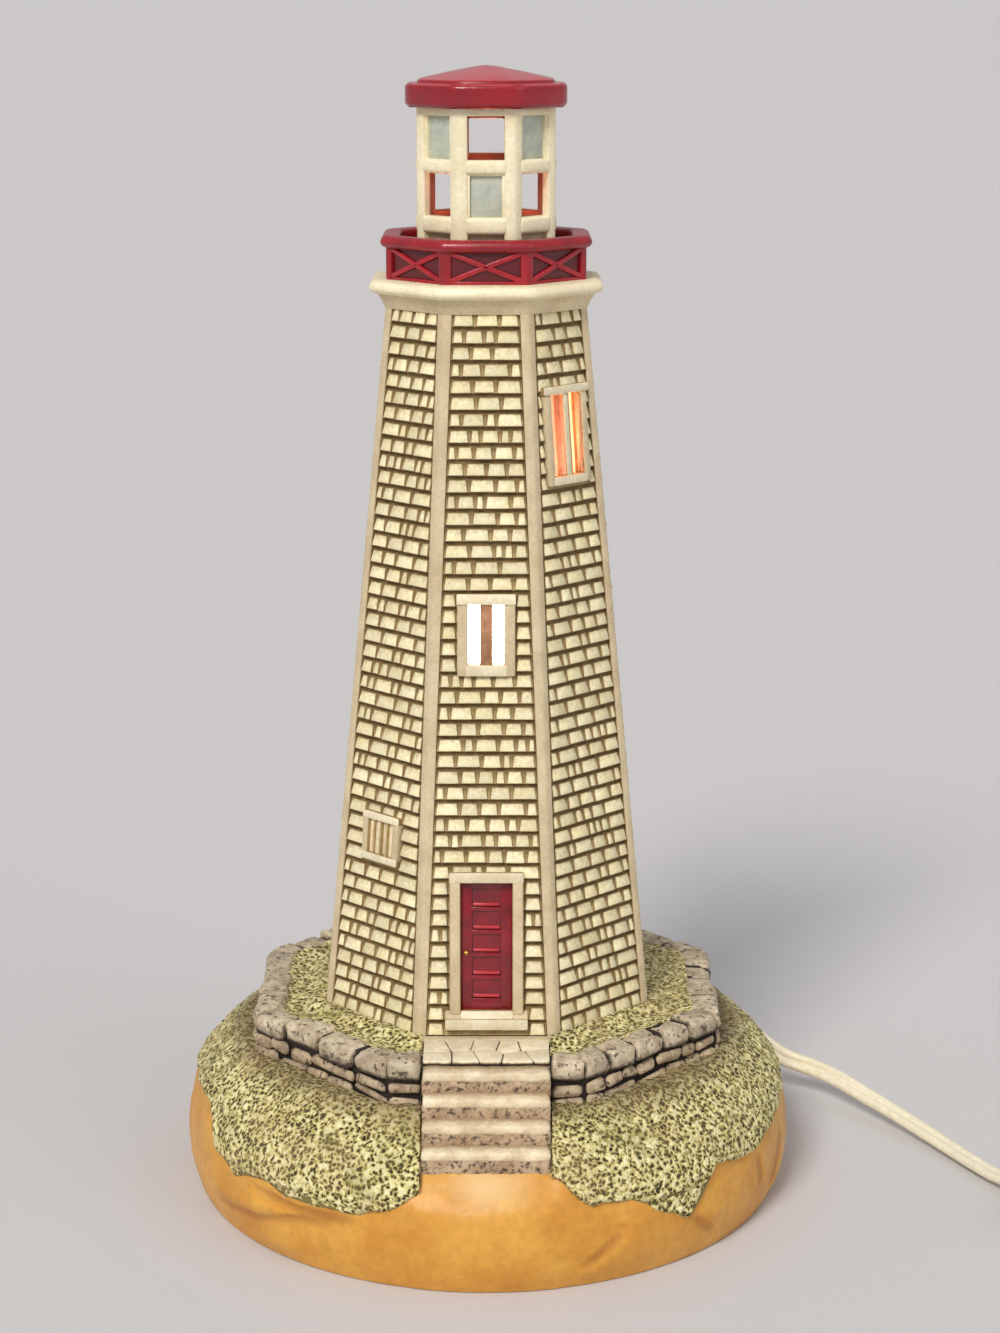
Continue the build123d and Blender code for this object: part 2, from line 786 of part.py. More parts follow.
# Bulb: tip contact, insulator and screw cap below, glass with its stem and filament above
tip_foot = body_top - contact_sunk + contact_height + bulb_gap
insulator_foot = tip_foot + tip_height
bulb_cap_foot = insulator_foot + insulator_height
bulb_cap_top = bulb_cap_foot + bulb_cap_height
cap_bore = bulb_cap_radius - bulb_cap_wall
neck_radius = cap_bore - neck_clearance
neck_foot = bulb_cap_top - neck_height / 2

with BuildPart() as bulb_tip_contact:
    with BuildSketch(Plane.XY.offset(tip_foot)):
        Circle(tip_radius)
    extrude(amount=tip_height)
    fillet(edges().sort_by(Axis.Z)[0], tip_height / 2)
save(bulb_tip_contact, "bulb_tip_contact")

with BuildPart() as bulb_cap_insulator:
    with BuildSketch(Plane.XY.offset(insulator_foot)):
        Circle(tip_radius)
    with BuildSketch(Plane.XY.offset(bulb_cap_foot)):
        Circle(insulator_radius)
    loft()
save(bulb_cap_insulator, "bulb_cap_insulator")

with BuildPart() as bulb_screw_cap:
    with BuildSketch(Plane.XY.offset(bulb_cap_foot)):
        Circle(bulb_cap_radius)
    extrude(amount=bulb_cap_height)
    with BuildSketch(Plane.XY.offset(bulb_cap_foot + bulb_cap_wall)):
        Circle(cap_bore)
    extrude(amount=bulb_cap_height, mode=Mode.SUBTRACT)
save(bulb_screw_cap, "bulb_screw_cap")

with BuildPart() as bulb_glass:
    with BuildSketch(Plane.XZ):
        with BuildLine():
            flare_radius = (swell_radius * cos(radians(swell_angle)) - neck_radius) / (
                1 - cos(radians(swell_angle))
            )
            outer_neck = Line((neck_radius, neck_foot), (neck_radius, neck_foot + neck_height))
            outer_flare = JernArc(outer_neck @ 1, (0, 1), flare_radius, -swell_angle)
            outer_crown = JernArc(outer_flare @ 1, outer_flare % 1, swell_radius, 90 + swell_angle)
            inner_neck = Line(
                (neck_radius - glass_wall, neck_foot), (neck_radius - glass_wall, neck_foot + neck_height)
            )
            inner_flare = JernArc(inner_neck @ 1, (0, 1), flare_radius + glass_wall, -swell_angle)
            inner_crown = JernArc(
                inner_flare @ 1, inner_flare % 1, swell_radius - glass_wall, 90 + swell_angle
            )
            Line(outer_neck @ 0, inner_neck @ 0)
            Line(outer_crown @ 1, inner_crown @ 1)
        make_face()
    revolve(axis=Axis.Z)
save(bulb_glass, "bulb_glass")

with BuildPart() as bulb_stem:
    with BuildSketch(Plane.XY.offset(neck_foot)):
        Circle(neck_radius - glass_wall - glass_fit)
    extrude(amount=stem_flare)
    with BuildSketch(Plane.XY.offset(neck_foot + stem_flare)):
        Circle(stem_radius)
    extrude(amount=stem_height)
save(bulb_stem, "bulb_stem")

stem_top = neck_foot + stem_flare + stem_height
with BuildPart() as bulb_filament:
    with BuildLine() as wire_path:
        FilletPolyline(
            (-stem_radius / 2, 0, stem_top),
            (-stem_radius / 2, 0, stem_top + 3 * wire_radius),
            (-filament_span / 2, 0, stem_top + filament_rise),
            (filament_span / 2, 0, stem_top + filament_rise),
            (stem_radius / 2, 0, stem_top + 3 * wire_radius),
            (stem_radius / 2, 0, stem_top),
            radius=2 * wire_radius,
        )
    with BuildSketch(Plane(wire_path.line @ 0, z_dir=wire_path.line % 0)):
        Circle(wire_radius)
    sweep()
save(bulb_filament, "bulb_filament")


# Cord grommet and the lead that runs from it into the nipple
def corner_radii(points):
    """The largest arc that fits each inner point of a route."""
    radii = []
    for before, here, after in zip(points, points[1:], points[2:]):
        run_in, run_out = Vector(here) - Vector(before), Vector(after) - Vector(here)
        turn = radians(run_in.get_angle(run_out))
        radii.append(bend_share * min(run_in.length, run_out.length) / tan(turn / 2))
    return radii


def cord_section():
    """The cord's outline, a hexagon as wide as its mean thickness."""
    return RegularPolygon(cord_diameter / 2, CORD_SIDES)


def report_tube(name, piece, path):
    """Compare a tube's volume with its section times its length."""
    section = CORD_SIDES / 2 * (cord_diameter / 2) ** 2 * sin(2 * pi / CORD_SIDES)
    length = Wire(path.edges()).length
    ratio = piece.part.volume / (section * length)
    print(f"{name}: length {length:.1f} mm, volume over section times length {ratio:.4f}")


with BuildPart() as cord_grommet:
    with BuildSketch(grommet_plane):
        Circle(grommet_flange_radius)
    extrude(amount=grommet_flange)
    with BuildSketch(grommet_plane):
        Circle(grommet_barrel_radius)
    extrude(amount=-grommet_barrel)
    with BuildSketch(grommet_plane.offset(grommet_flange)):
        Circle(cord_diameter / 2 + cord_clearance)
    extrude(amount=-grommet_flange - grommet_barrel, mode=Mode.SUBTRACT)
save(cord_grommet, "cord_grommet")

cord_exit = grommet_plane.offset(grommet_flange).origin
lead_low = grommet_height - lead_drop
lead_turn = lead_turn_share * cord_exit.X
with BuildPart() as inner_lead:
    with BuildLine() as lead_path:
        FilletPolyline(
            cord_exit,
            cord_exit - grommet_plane.z_dir * (grommet_flange + grommet_barrel + cord_diameter),
            (lead_turn, lead_turn * tan(grommet_direction), lead_low),
            (0, 0, lead_low),
            (0, 0, cap_floor),
            radius=[lead_bend, lead_bend, lead_bend],
        )
    with BuildSketch(Plane(lead_path.line @ 0, z_dir=lead_path.line % 0)):
        cord_section()
    sweep()
report_tube("inner_lead", inner_lead, lead_path)
save(inner_lead, "inner_lead")

# Free stretch of the cord, from the grommet to the in-line switch
def from_exit(across, deep, level):
    """A point at a level above the floor, its place measured from the cord's exit."""
    return Vector(cord_exit.X + across, cord_exit.Y + deep, level)


heading = Vector(cos(radians(switch_heading)), sin(radians(switch_heading)), 0)
switch_plane = Plane(from_exit(*switch_offset, 0), heading, (0, 0, 1))
switch_entry = switch_plane.from_local_coords(Vector(-switch_length / 2, 0, switch_half_height))
switch_exit = switch_plane.from_local_coords(Vector(switch_length / 2, 0, switch_half_height))
free_route = [
    cord_exit,
    cord_exit + grommet_plane.z_dir * cord_straight,
    from_exit(13.0, 6.5, 15.5),
    from_exit(19.0, 6.2, 11.0),
    from_exit(26.5, 3.5, 9.4),
    from_exit(33.5, -2.6, 8.4),
    from_exit(40.5, -11.9, 7.0),
    from_exit(49.5, -23.5, 5.2),
    from_exit(58.5, -36.7, 3.4),
    from_exit(66.5, -51.1, 2.5),
    from_exit(73.0, -64.7, 3.0),
    switch_entry - heading * switch_straight,
    switch_entry,
]


def cord_tube(name, route):
    """Sweep the cord along a route of straight runs joined by arcs, and save it."""
    radii = corner_radii(route)
    print(f"{name}: bend radii", [round(radius, 1) for radius in radii])
    with BuildPart() as tube:
        with BuildLine() as path:
            FilletPolyline(*route, radius=radii)
        with BuildSketch(Plane(path.line @ 0, z_dir=path.line % 0)) as section:
            cord_section()
        sweep(section.sketch, path=Wire(path.edges()))
    report_tube(name, tube, path)
    save(tube, name)


cord_tube("cord_free_stretch", free_route)

# In-line switch: two moulded halves on the cord, with a thumbwheel on a pin between them
wheel_place = (0, wheel_offset)
pocket_radius = wheel_radius + wheel_clearance
pocket_half = wheel_thickness / 2 + wheel_clearance
split = switch_plane.offset(switch_half_height)
strip_places = [(-contact_strip_reach, 0), (contact_strip_reach, 0)]
screw_hole = switch_screw_radius + screw_clearance
screw_place = (0, wheel_offset - pocket_radius - switch_screw_wall - screw_hole)

with BuildPart() as switch_lower_housing:
    with BuildSketch(switch_plane):
        RectangleRounded(switch_length, switch_width, switch_corner)
    extrude(amount=switch_half_height)
    fillet(edges().group_by(Axis.Z)[0], switch_edge_round)
    with BuildSketch(split):
        with Locations(wheel_place):
            Circle(pocket_radius)
            Circle(pin_radius, mode=Mode.SUBTRACT)
    extrude(amount=-pocket_half, mode=Mode.SUBTRACT)
    with BuildSketch(split):
        with Locations(wheel_place):
            Circle(pin_radius)
    extrude(amount=pocket_half - wheel_clearance)
    with BuildSketch(split):
        with Locations(*strip_places):
            Rectangle(contact_strip_length + 2 * screw_clearance, contact_strip_width + 2 * screw_clearance)
    extrude(amount=-contact_strip_thickness, mode=Mode.SUBTRACT)
    with BuildSketch(split):
        with Locations(screw_place):
            Circle(screw_hole)
    extrude(amount=-switch_half_height, mode=Mode.SUBTRACT)
save(switch_lower_housing, "switch_lower_housing")

with BuildPart() as switch_upper_housing:
    with BuildSketch(split):
        RectangleRounded(switch_length, switch_width, switch_corner)
    extrude(amount=switch_half_height)
    fillet(edges().group_by(Axis.Z)[-1], switch_edge_round)
    with BuildSketch(split):
        with Locations(wheel_place):
            Circle(pocket_radius)
    extrude(amount=pocket_half, mode=Mode.SUBTRACT)
    with BuildSketch(split):
        with Locations(screw_place):
            Circle(screw_hole)
    extrude(amount=switch_half_height, mode=Mode.SUBTRACT)
    with BuildSketch(split.offset(switch_half_height)):
        with Locations(screw_place):
            Circle(switch_screw_head + screw_clearance)
    extrude(amount=-switch_screw_head_height, mode=Mode.SUBTRACT)
save(switch_upper_housing, "switch_upper_housing")

with BuildPart() as switch_thumbwheel:
    with BuildSketch(split):
        with Locations(wheel_place):
            Circle(wheel_radius)
            with PolarLocations(wheel_radius, wheel_notches):
                Circle(wheel_notch_radius, mode=Mode.SUBTRACT)
            Circle(pin_radius + pin_clearance, mode=Mode.SUBTRACT)
    extrude(amount=wheel_thickness / 2, both=True)
save(switch_thumbwheel, "switch_thumbwheel")

with BuildPart() as switch_contacts:
    with BuildSketch(split.offset(-contact_strip_thickness)):
        with Locations(*strip_places):
            Rectangle(contact_strip_length, contact_strip_width)
    extrude(amount=contact_strip_thickness)
save(switch_contacts, "switch_contacts")

with BuildPart() as switch_screw:
    with BuildSketch(split.offset(switch_half_height)):
        with Locations(screw_place):
            Circle(switch_screw_head)
    extrude(amount=-switch_screw_head_height)
    with BuildSketch(split.offset(switch_half_height)):
        with Locations(screw_place):
            Circle(switch_screw_radius)
    extrude(amount=-switch_screw_length)
save(switch_screw, "switch_screw")

# Coil of the put-away length: it spirals in on the floor, climbs a layer and spirals out again
floor_level = cord_diameter / 2 + tie_thickness + tie_clearance
upper_level = floor_level + coil_layer_pitch
shrink = coil_turn_pitch / 2
coil_centre = from_exit(*coil_offset, 0)
reaches = [coil_outer_radius - step * shrink for step in range(coil_half_turns + 1)]
coil_stations = []
for count, reach in enumerate(reaches + reaches[::-1]):
    side = -1 if count % 2 == 0 else 1
    level = floor_level if count <= coil_half_turns else upper_level
    coil_stations.append(coil_centre + Vector(0, side * reach, level))
coil_entry = coil_stations[0] - Vector(cord_diameter, 0, 0)
coil_exit = coil_stations[-1] - Vector(cord_diameter, 0, 0)


def half_turn(start, end, direction):
    """One half turn between stations; a climbing one is two arcs that meet halfway."""
    if abs(end.Z - start.Z) < cord_clearance:
        return [TangentArc(start, end, tangent=direction)]
    reach = (end - start).length / 2
    middle = (start + direction * reach + end + direction * reach) / 2
    first = TangentArc(start, middle, tangent=direction)
    return [first, TangentArc(middle, end, tangent=first % 1)]


with BuildPart() as cord_coil:
    with BuildLine() as coil_path:
        Line(coil_entry, coil_stations[0])
        for count, (start, end) in enumerate(zip(coil_stations, coil_stations[1:])):
            half_turn(start, end, Vector(1 if count % 2 == 0 else -1, 0, 0))
        Line(coil_stations[-1], coil_exit)
    with BuildSketch(Plane(coil_entry, z_dir=(1, 0, 0))):
        cord_section()
    sweep()
report_tube("cord_coil", cord_coil, coil_path)
save(cord_coil, "cord_coil")


def least_self_gap(path, spacing):
    """Smallest clear distance between stretches of a tube that lie side by side."""
    wire = Wire(path.edges())
    count = int(wire.length / spacing)
    points = [wire.position_at(step / count) for step in range(count + 1)]
    apart = int(4 * cord_diameter / spacing)
    least = wire.length
    for first, point in enumerate(points):
        for other in points[first + apart :]:
            least = min(least, (other - point).length)
    return least - cord_diameter


print(f"cord_coil: least gap to itself {least_self_gap(coil_path, cord_diameter):.2f} mm")

link_route = [
    switch_exit,
    switch_exit + heading * cord_straight,
    from_exit(126.2, -152.0, 5.3),
    from_exit(134.4, -155.7, 3.8),
    coil_entry - Vector(link_straight, 0, 0),
    coil_entry,
]
cord_tube("cord_switch_link", link_route)

# Tie round the coil, on the side away from the climb
strand_radii = [(first + second) / 2 for first, second in zip(reaches, reaches[1:])][::2]
tie_inside = min(strand_radii) - cord_diameter / 2 - tie_side_clearance
tie_outside = max(strand_radii) + cord_diameter / 2 + tie_side_clearance
tie_inner_height = coil_layer_pitch + cord_diameter + 2 * tie_clearance
tie_middle = coil_centre + Vector((tie_inside + tie_outside) / 2, 0, 0)
tie_plane = Plane(tie_middle + Vector(0, 0, tie_thickness + tie_inner_height / 2), (1, 0, 0), (0, -1, 0))

with BuildPart() as coil_tie:
    with BuildSketch(tie_plane):
        Rectangle(tie_outside - tie_inside + 2 * tie_thickness, tie_inner_height + 2 * tie_thickness)
        Rectangle(tie_outside - tie_inside, tie_inner_height, mode=Mode.SUBTRACT)
    extrude(amount=tie_width / 2, both=True)
save(coil_tie, "coil_tie")

# Plug: a moulded body with a drawn-in neck and two blades, lying on the floor
plug_level = plug_thickness / 2
plug_entry = from_exit(*plug_offset, plug_level)
plug_back = Plane(plug_entry, (1, 0, 0), (0, 1, 0))
plug_face = plug_back.offset(plug_length)
blade_places = [(-blade_spacing / 2, 0), (blade_spacing / 2, 0)]

tail_route = [
    coil_exit,
    coil_exit - Vector(cord_straight, 0, 0),
    from_exit(142.5, -75.9, 5.4),
    from_exit(137.2, -68.9, 3.2),
    from_exit(134.4, -60.1, 4.2),
    plug_entry - Vector(0, cord_straight, 0),
    plug_entry,
]
cord_tube("cord_plug_tail", tail_route)

with BuildPart() as plug_body:
    with BuildSketch(plug_back):
        RectangleRounded(plug_neck_width, plug_neck_thickness, plug_round)
    with BuildSketch(plug_back.offset(plug_length / 2)):
        RectangleRounded(plug_width - plug_round, plug_thickness - plug_round, plug_round)
    with BuildSketch(plug_face):
        RectangleRounded(plug_width, plug_thickness, plug_round)
    loft(ruled=True)
    with BuildSketch(plug_face):
        with Locations(*blade_places):
            Rectangle(blade_thickness + 2 * cord_clearance, blade_width + 2 * cord_clearance)
    extrude(amount=-blade_sunk, mode=Mode.SUBTRACT)
save(plug_body, "plug_body")

with BuildPart() as plug_blades:
    with BuildSketch(plug_face.offset(-blade_sunk)):
        with Locations(*blade_places):
            Rectangle(blade_thickness, blade_width)
    extrude(amount=blade_sunk + blade_length)
    tips = edges().filter_by(Axis.X).group_by(Axis.Y)[-1]
    chamfer(tips, blade_round)
save(plug_blades, "plug_blades")
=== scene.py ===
import random
from math import asin, atan2, copysign, cos, degrees, exp, hypot, pi, radians, sin, tan

import bmesh
import bpy
from mathutils import Matrix, Vector, noise


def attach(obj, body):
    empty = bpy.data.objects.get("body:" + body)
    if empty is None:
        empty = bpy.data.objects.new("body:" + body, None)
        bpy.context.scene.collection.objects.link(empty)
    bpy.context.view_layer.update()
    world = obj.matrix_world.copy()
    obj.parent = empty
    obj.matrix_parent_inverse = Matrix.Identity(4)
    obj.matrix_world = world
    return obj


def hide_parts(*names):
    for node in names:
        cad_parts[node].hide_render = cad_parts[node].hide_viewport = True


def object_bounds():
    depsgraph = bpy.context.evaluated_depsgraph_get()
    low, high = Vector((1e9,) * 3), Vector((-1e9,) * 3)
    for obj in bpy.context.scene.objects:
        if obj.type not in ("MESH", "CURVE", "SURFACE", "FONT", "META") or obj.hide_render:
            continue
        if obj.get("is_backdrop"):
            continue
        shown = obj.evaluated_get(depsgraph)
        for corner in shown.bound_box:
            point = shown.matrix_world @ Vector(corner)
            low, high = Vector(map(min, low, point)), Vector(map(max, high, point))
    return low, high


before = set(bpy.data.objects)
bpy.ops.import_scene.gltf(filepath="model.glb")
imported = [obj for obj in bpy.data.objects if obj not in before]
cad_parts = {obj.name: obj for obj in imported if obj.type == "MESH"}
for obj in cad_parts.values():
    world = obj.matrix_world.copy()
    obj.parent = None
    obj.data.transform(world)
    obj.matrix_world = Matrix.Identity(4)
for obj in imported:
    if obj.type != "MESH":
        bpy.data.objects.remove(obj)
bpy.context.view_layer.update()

# Studio: a wide pale floor that runs out of the picture, a soft key light from the upper left, a weaker one
# from the right and a pale room, all so wide that the floor is evenly lit. The camera stands where the
# photographer stood.
MM = 0.001


def shade(red, green, blue):
    """A paint colour mixed in 0 to 255 parts, as the linear colour that a shader takes."""
    parts = (part / 255 for part in (red, green, blue))
    return tuple(p / 12.92 if p <= 0.04045 else ((p + 0.055) / 1.055) ** 2.4 for p in parts) + (1,)


def node(tree, kind, inputs=None, **settings):
    """Add a shader node, with its settings and its inputs' values or links."""
    made = tree.nodes.new("ShaderNode" + kind)
    for name, value in settings.items():
        setattr(made, name, value)
    for name, value in (inputs or {}).items():
        if isinstance(value, bpy.types.NodeSocket):
            tree.links.new(value, made.inputs[name])
        else:
            made.inputs[name].default_value = value
    return made


def stepped(tree, value, *stops):
    """A colour read off a row of (place, colour) stops."""
    made = node(tree, "ValToRGB", {"Fac": value})
    row = made.color_ramp.elements
    while len(row) < len(stops):
        row.new(1)
    for element, (place, colour) in zip(row, stops):
        element.position, element.color = place, colour
    return made.outputs["Color"]


def here(tree):
    """A place in the piece's own coordinates, in metres."""
    return node(tree, "TexCoord").outputs["Object"]


def grain(tree, scale, detail=3.0, rough=0.55):
    """Noise laid on the piece's own coordinates, scale in cycles to the metre."""
    inputs = {"Vector": here(tree), "Scale": scale, "Detail": detail, "Roughness": rough}
    return node(tree, "TexNoise", inputs).outputs["Fac"]


def mottled(tree, scale, dark, light, detail=3.0):
    """Soft patches of two colours."""
    return stepped(tree, grain(tree, scale, detail), (0.3, dark), (0.7, light))


def finish(name, **sockets):
    """A new finish; returns it, its node tree and its shader, with the plain sockets set."""
    made = bpy.data.materials.new(name)
    made.use_nodes = True
    shader = made.node_tree.nodes["Principled BSDF"]
    for socket, value in sockets.items():
        shader.inputs[socket.replace("_", " ")].default_value = value
    return made, made.node_tree, shader


def coat(tree, shader, colour, rough=None, height=None, depth=0.2):
    """Link colour, roughness and a bump of a depth in millimetres to the shader."""
    tree.links.new(colour, shader.inputs["Base Color"])
    if rough is not None:
        tree.links.new(rough, shader.inputs["Roughness"])
    if height is not None:
        bump = node(tree, "Bump", {"Height": height, "Distance": depth * MM, "Strength": 1.0})
        tree.links.new(bump.outputs["Normal"], shader.inputs["Normal"])


def put_in(name, data):
    """Put a new object into the scene."""
    made = bpy.data.objects.new(name, data)
    bpy.context.scene.collection.objects.link(made)
    return made


FLOOR_REACH = 400.0
floor_paint, tree, shader = finish("studio_floor", Roughness=0.75)
coat(tree, shader, mottled(tree, 900, shade(204, 201, 201), shade(207, 204, 203)))
shape = bmesh.new()
bmesh.ops.create_grid(shape, x_segments=1, y_segments=1, size=FLOOR_REACH)
mesh = bpy.data.meshes.new("studio_floor")
shape.to_mesh(mesh)
shape.free()
mesh.materials.append(floor_paint)
floor = put_in("studio_floor", mesh)
floor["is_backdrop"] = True

eye = bpy.data.cameras.new("photo_camera")
eye.sensor_width = 36.0
eye.lens = 75.22
DOWNWARD = 0.2376
camera = put_in("photo_camera", eye)
camera.location = (0.00359, -0.7405, 0.3234)
camera.rotation_euler = (pi / 2 - DOWNWARD, 0, 0)
bpy.context.scene.camera = camera

for name, place, softness, power, tint in (
    ("key_light", (-0.35, -0.8, 0.8), 18, 2.3, (1.0, 0.975, 0.94)),
    ("side_light", (0.9, -0.7, 0.6), 40, 0.45, (0.97, 0.98, 1.0)),
):
    lamp = bpy.data.lights.new(name, "SUN")
    lamp.angle, lamp.energy, lamp.color = radians(softness), power, tint
    holder = put_in(name, lamp)
    holder.location = place
    holder.rotation_euler = (-Vector(place)).to_track_quat("-Z", "Y").to_euler()
room = bpy.data.worlds.new("studio_room")
room.use_nodes = True
ambient = room.node_tree.nodes["Background"].inputs
ambient["Color"].default_value, ambient["Strength"].default_value = (0.86, 0.87, 0.9, 1), 0.5
bpy.context.scene.world = room
bpy.context.scene.view_settings.view_transform = "Standard"

# Base casting: the hollow slip-cast core that everything stands on. Its painted top is under the sand, turf
# and stonework below; the bare fired clay shows inside and on the rim that stands on the table.


def mixed(tree, share, first, second, way="MIX"):
    """Mix two colours by a share."""
    return node(tree, "Mix", {0: share, 6: first, 7: second}, data_type="RGBA", blend_type=way).outputs[2]


def spread(tree, value, low, high, least=0.0, most=1.0):
    """Stretch a value from one range to another, held at both ends."""
    inputs = {"Value": value, "From Min": low, "From Max": high, "To Min": least, "To Max": most}
    return node(tree, "MapRange", inputs).outputs["Result"]


def reckon(tree, way, first, second):
    """One sum with two values."""
    return node(tree, "Math", {0: first, 1: second}, operation=way).outputs["Value"]


def read(tree, name):
    """A value that the piece carries at its points."""
    return node(tree, "Attribute", attribute_name=name).outputs["Fac"]


def vector(tree, way, *values, out="Vector"):
    """One sum with vectors."""
    return node(tree, "VectorMath", dict(enumerate(values)), operation=way).outputs[out]


def level_of(tree, spot):
    """How high a vector reaches."""
    return node(tree, "SeparateXYZ", {0: spot}).outputs["Z"]


def grey(tree, value):
    """A grey of a value, to multiply a colour by."""
    return node(tree, "CombineColor", {n: value for n in range(3)}).outputs["Color"]


def paint_group(name, inputs, outputs):
    """A node group for a paint effect, with its named sockets."""
    made = bpy.data.node_groups.new(name, "ShaderNodeTree")
    for kind, sockets in (("INPUT", inputs), ("OUTPUT", outputs)):
        for socket, form in sockets:
            made.interface.new_socket(socket, in_out=kind, socket_type="NodeSocket" + form)
    return made, made.nodes.new("NodeGroupInput").outputs, made.nodes.new("NodeGroupOutput").inputs


# Brushed paint: patches of a thin and a thick coat, with a fine grain over both.
brushed, got, put = paint_group(
    "brushed_paint",
    [("Thick", "Color"), ("Thin", "Color"), ("Patch", "Float"), ("Grain", "Float")],
    [("Color", "Color"), ("Height", "Float"), ("Rough", "Float")],
)
patch = grain(brushed, got["Patch"], 4.0, 0.6)
fine = grain(brushed, got["Grain"], 3.0, 0.6)
coats = mixed(brushed, spread(brushed, patch, 0.36, 0.64), got["Thin"], got["Thick"])
bright = grey(brushed, spread(brushed, fine, 0.2, 0.8, 0.86, 1.1))
brushed.links.new(mixed(brushed, 1.0, coats, bright, "MULTIPLY"), put["Color"])
brushed.links.new(reckon(brushed, "ADD", fine, reckon(brushed, "MULTIPLY", patch, 0.8)), put["Height"])
brushed.links.new(spread(brushed, patch, 0.3, 0.7, 0.62, 0.42), put["Rough"])

# Wiped wash: a dark wash that was brushed over the casting and wiped off its high places. The wash value is 1
# on a high place and 0 in a recess, and the tone value makes one stone or brick lighter than the next.
wiped, got, put = paint_group(
    "wiped_wash",
    [("Paint", "Color"), ("Wash", "Color"), ("Low", "Float"), ("High", "Float")],
    [("Color", "Color"), ("Face", "Float")],
)
speck = grain(wiped, 900.0, 2.0, 0.5)
uneven = reckon(wiped, "ADD", read(wiped, "wash"), spread(wiped, speck, 0.3, 0.7, -0.12, 0.12))
face = node(
    wiped, "MapRange", {"Value": uneven, "From Min": got["Low"], "From Max": got["High"]},
    interpolation_type="SMOOTHSTEP",
).outputs["Result"]
toned = grey(wiped, spread(wiped, read(wiped, "tone"), 0, 1, 0.86, 1.08))
lit = mixed(wiped, 1.0, got["Paint"], toned, "MULTIPLY")
wiped.links.new(mixed(wiped, face, got["Wash"], lit), put["Color"])
wiped.links.new(face, put["Face"])


def brush_on(tree, thick, thin, patch, fine):
    """Brushed paint in a finish; returns its colour, height and roughness."""
    inputs = {"Thick": shade(*thick), "Thin": shade(*thin), "Patch": patch, "Grain": fine}
    return node(tree, "Group", inputs, node_tree=brushed).outputs


def painted(name, thick, thin, patch, fine, depth, wash=None, low=0.1, high=0.9, pits=None, **sockets):
    """A brushed ceramic paint, with a wiped wash in its recesses and dark pits where they are given.
    Patch and fine are in cycles to the metre, depth is in millimetres."""
    made, tree, shader = finish(name, **sockets)
    brush = brush_on(tree, thick, thin, patch, fine)
    colour = brush["Color"]
    if wash:
        wipe = {"Paint": colour, "Wash": shade(*wash), "Low": low, "High": high}
        colour = node(tree, "Group", wipe, node_tree=wiped).outputs["Color"]
    if pits:
        dots = spread(tree, grain(tree, 640, 2, 0.6), 0.57, 0.66, 0, 0.85)
        colour = mixed(tree, dots, colour, shade(*pits))
    rough = None if "Roughness" in sockets else brush["Rough"]
    coat(tree, shader, colour, rough, brush["Height"], depth)
    return made


def refinish(material, *names):
    """Give CAD nodes a finish."""
    for name in names:
        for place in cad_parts[name].material_slots:
            place.material = material


bare_clay, tree, shader = finish("bare_clay", Roughness=0.85)
brush = brush_on(tree, (196, 150, 112), (176, 128, 92), 40.0, 700.0)
flat = vector(tree, "MULTIPLY", here(tree), (1, 1, 0))
lifted = vector(tree, "ADD", vector(tree, "NORMALIZE", flat), (0, 0, 1))
normal = node(tree, "NewGeometry").outputs["Normal"]
outside = vector(tree, "DOT_PRODUCT", lifted, normal, out="Value")
level = level_of(tree, here(tree))
flooded = mixed(tree, spread(tree, level, 0.039, 0.041), shade(122, 106, 62), shade(40, 31, 24))
away = vector(tree, "LENGTH", flat, out="Value")
shown = reckon(tree, "MULTIPLY", spread(tree, outside, 0.05, 0.2), spread(tree, away, 0.044, 0.045))
coat(tree, shader, mixed(tree, shown, brush["Color"], flooded), None, brush["Height"], 0.12)
refinish(bare_clay, "base_casting")

# Sand: the smooth painted skirt of the base, ochre over a darker brown that stays in the tooled creases and
# also stands for painted shade there, and paler where it was brushed towards the foot of the steps.
FRONT = -90.0
SAND_TOP = 30.2
MOUND_TOP, MOUND_REACH = 41.0, 67.69
STAIR_HALF = 16.5


def curve_through(points, at):
    """The parabola through three (place, value) points."""
    total = 0.0
    for mine, value in points:
        for other, _ in points:
            if other != mine:
                value *= (at - other) / (mine - other)
        total += value
    return total


def base_reach(bearing, level):
    """How far the base casting comes out from the axis at a bearing and a level."""
    if level < 21:
        wide = curve_through([(0, 80.6), (11, 83.8), (21, 82.2)], level)
        deep = curve_through([(0, 85.1), (11, 88.3), (21, 86.7)], level)
    else:
        wide = curve_through([(21, 83.0), (33, 77.18), (MOUND_TOP, MOUND_REACH)], level)
        deep = curve_through([(21, 87.5), (33, 79.97), (MOUND_TOP, MOUND_REACH)], level)
    return 1 / hypot(cos(bearing) / wide, sin(bearing) / deep)


def apron_reach(bearing, level):
    """How far the sand in front of the steps comes out, where it rises to the lowest step."""
    return (79.8 + (SAND_TOP - level) * 14.5 / 15.2) / max(0.2, -sin(bearing))


def around(bearing, reach, level):
    """A point at a bearing and a distance from the axis."""
    return Vector((reach * cos(bearing), reach * sin(bearing), level))


def from_front(bearing):
    """A bearing's degrees from the front, right positive, from -180 to 180."""
    return (degrees(bearing) - FRONT + 180) % 360 - 180


def new_shape():
    """An empty shape with the wash and tone values that the paints read."""
    made = bmesh.new()
    made.verts.layers.float.new("wash")
    made.verts.layers.float.new("tone")
    return made


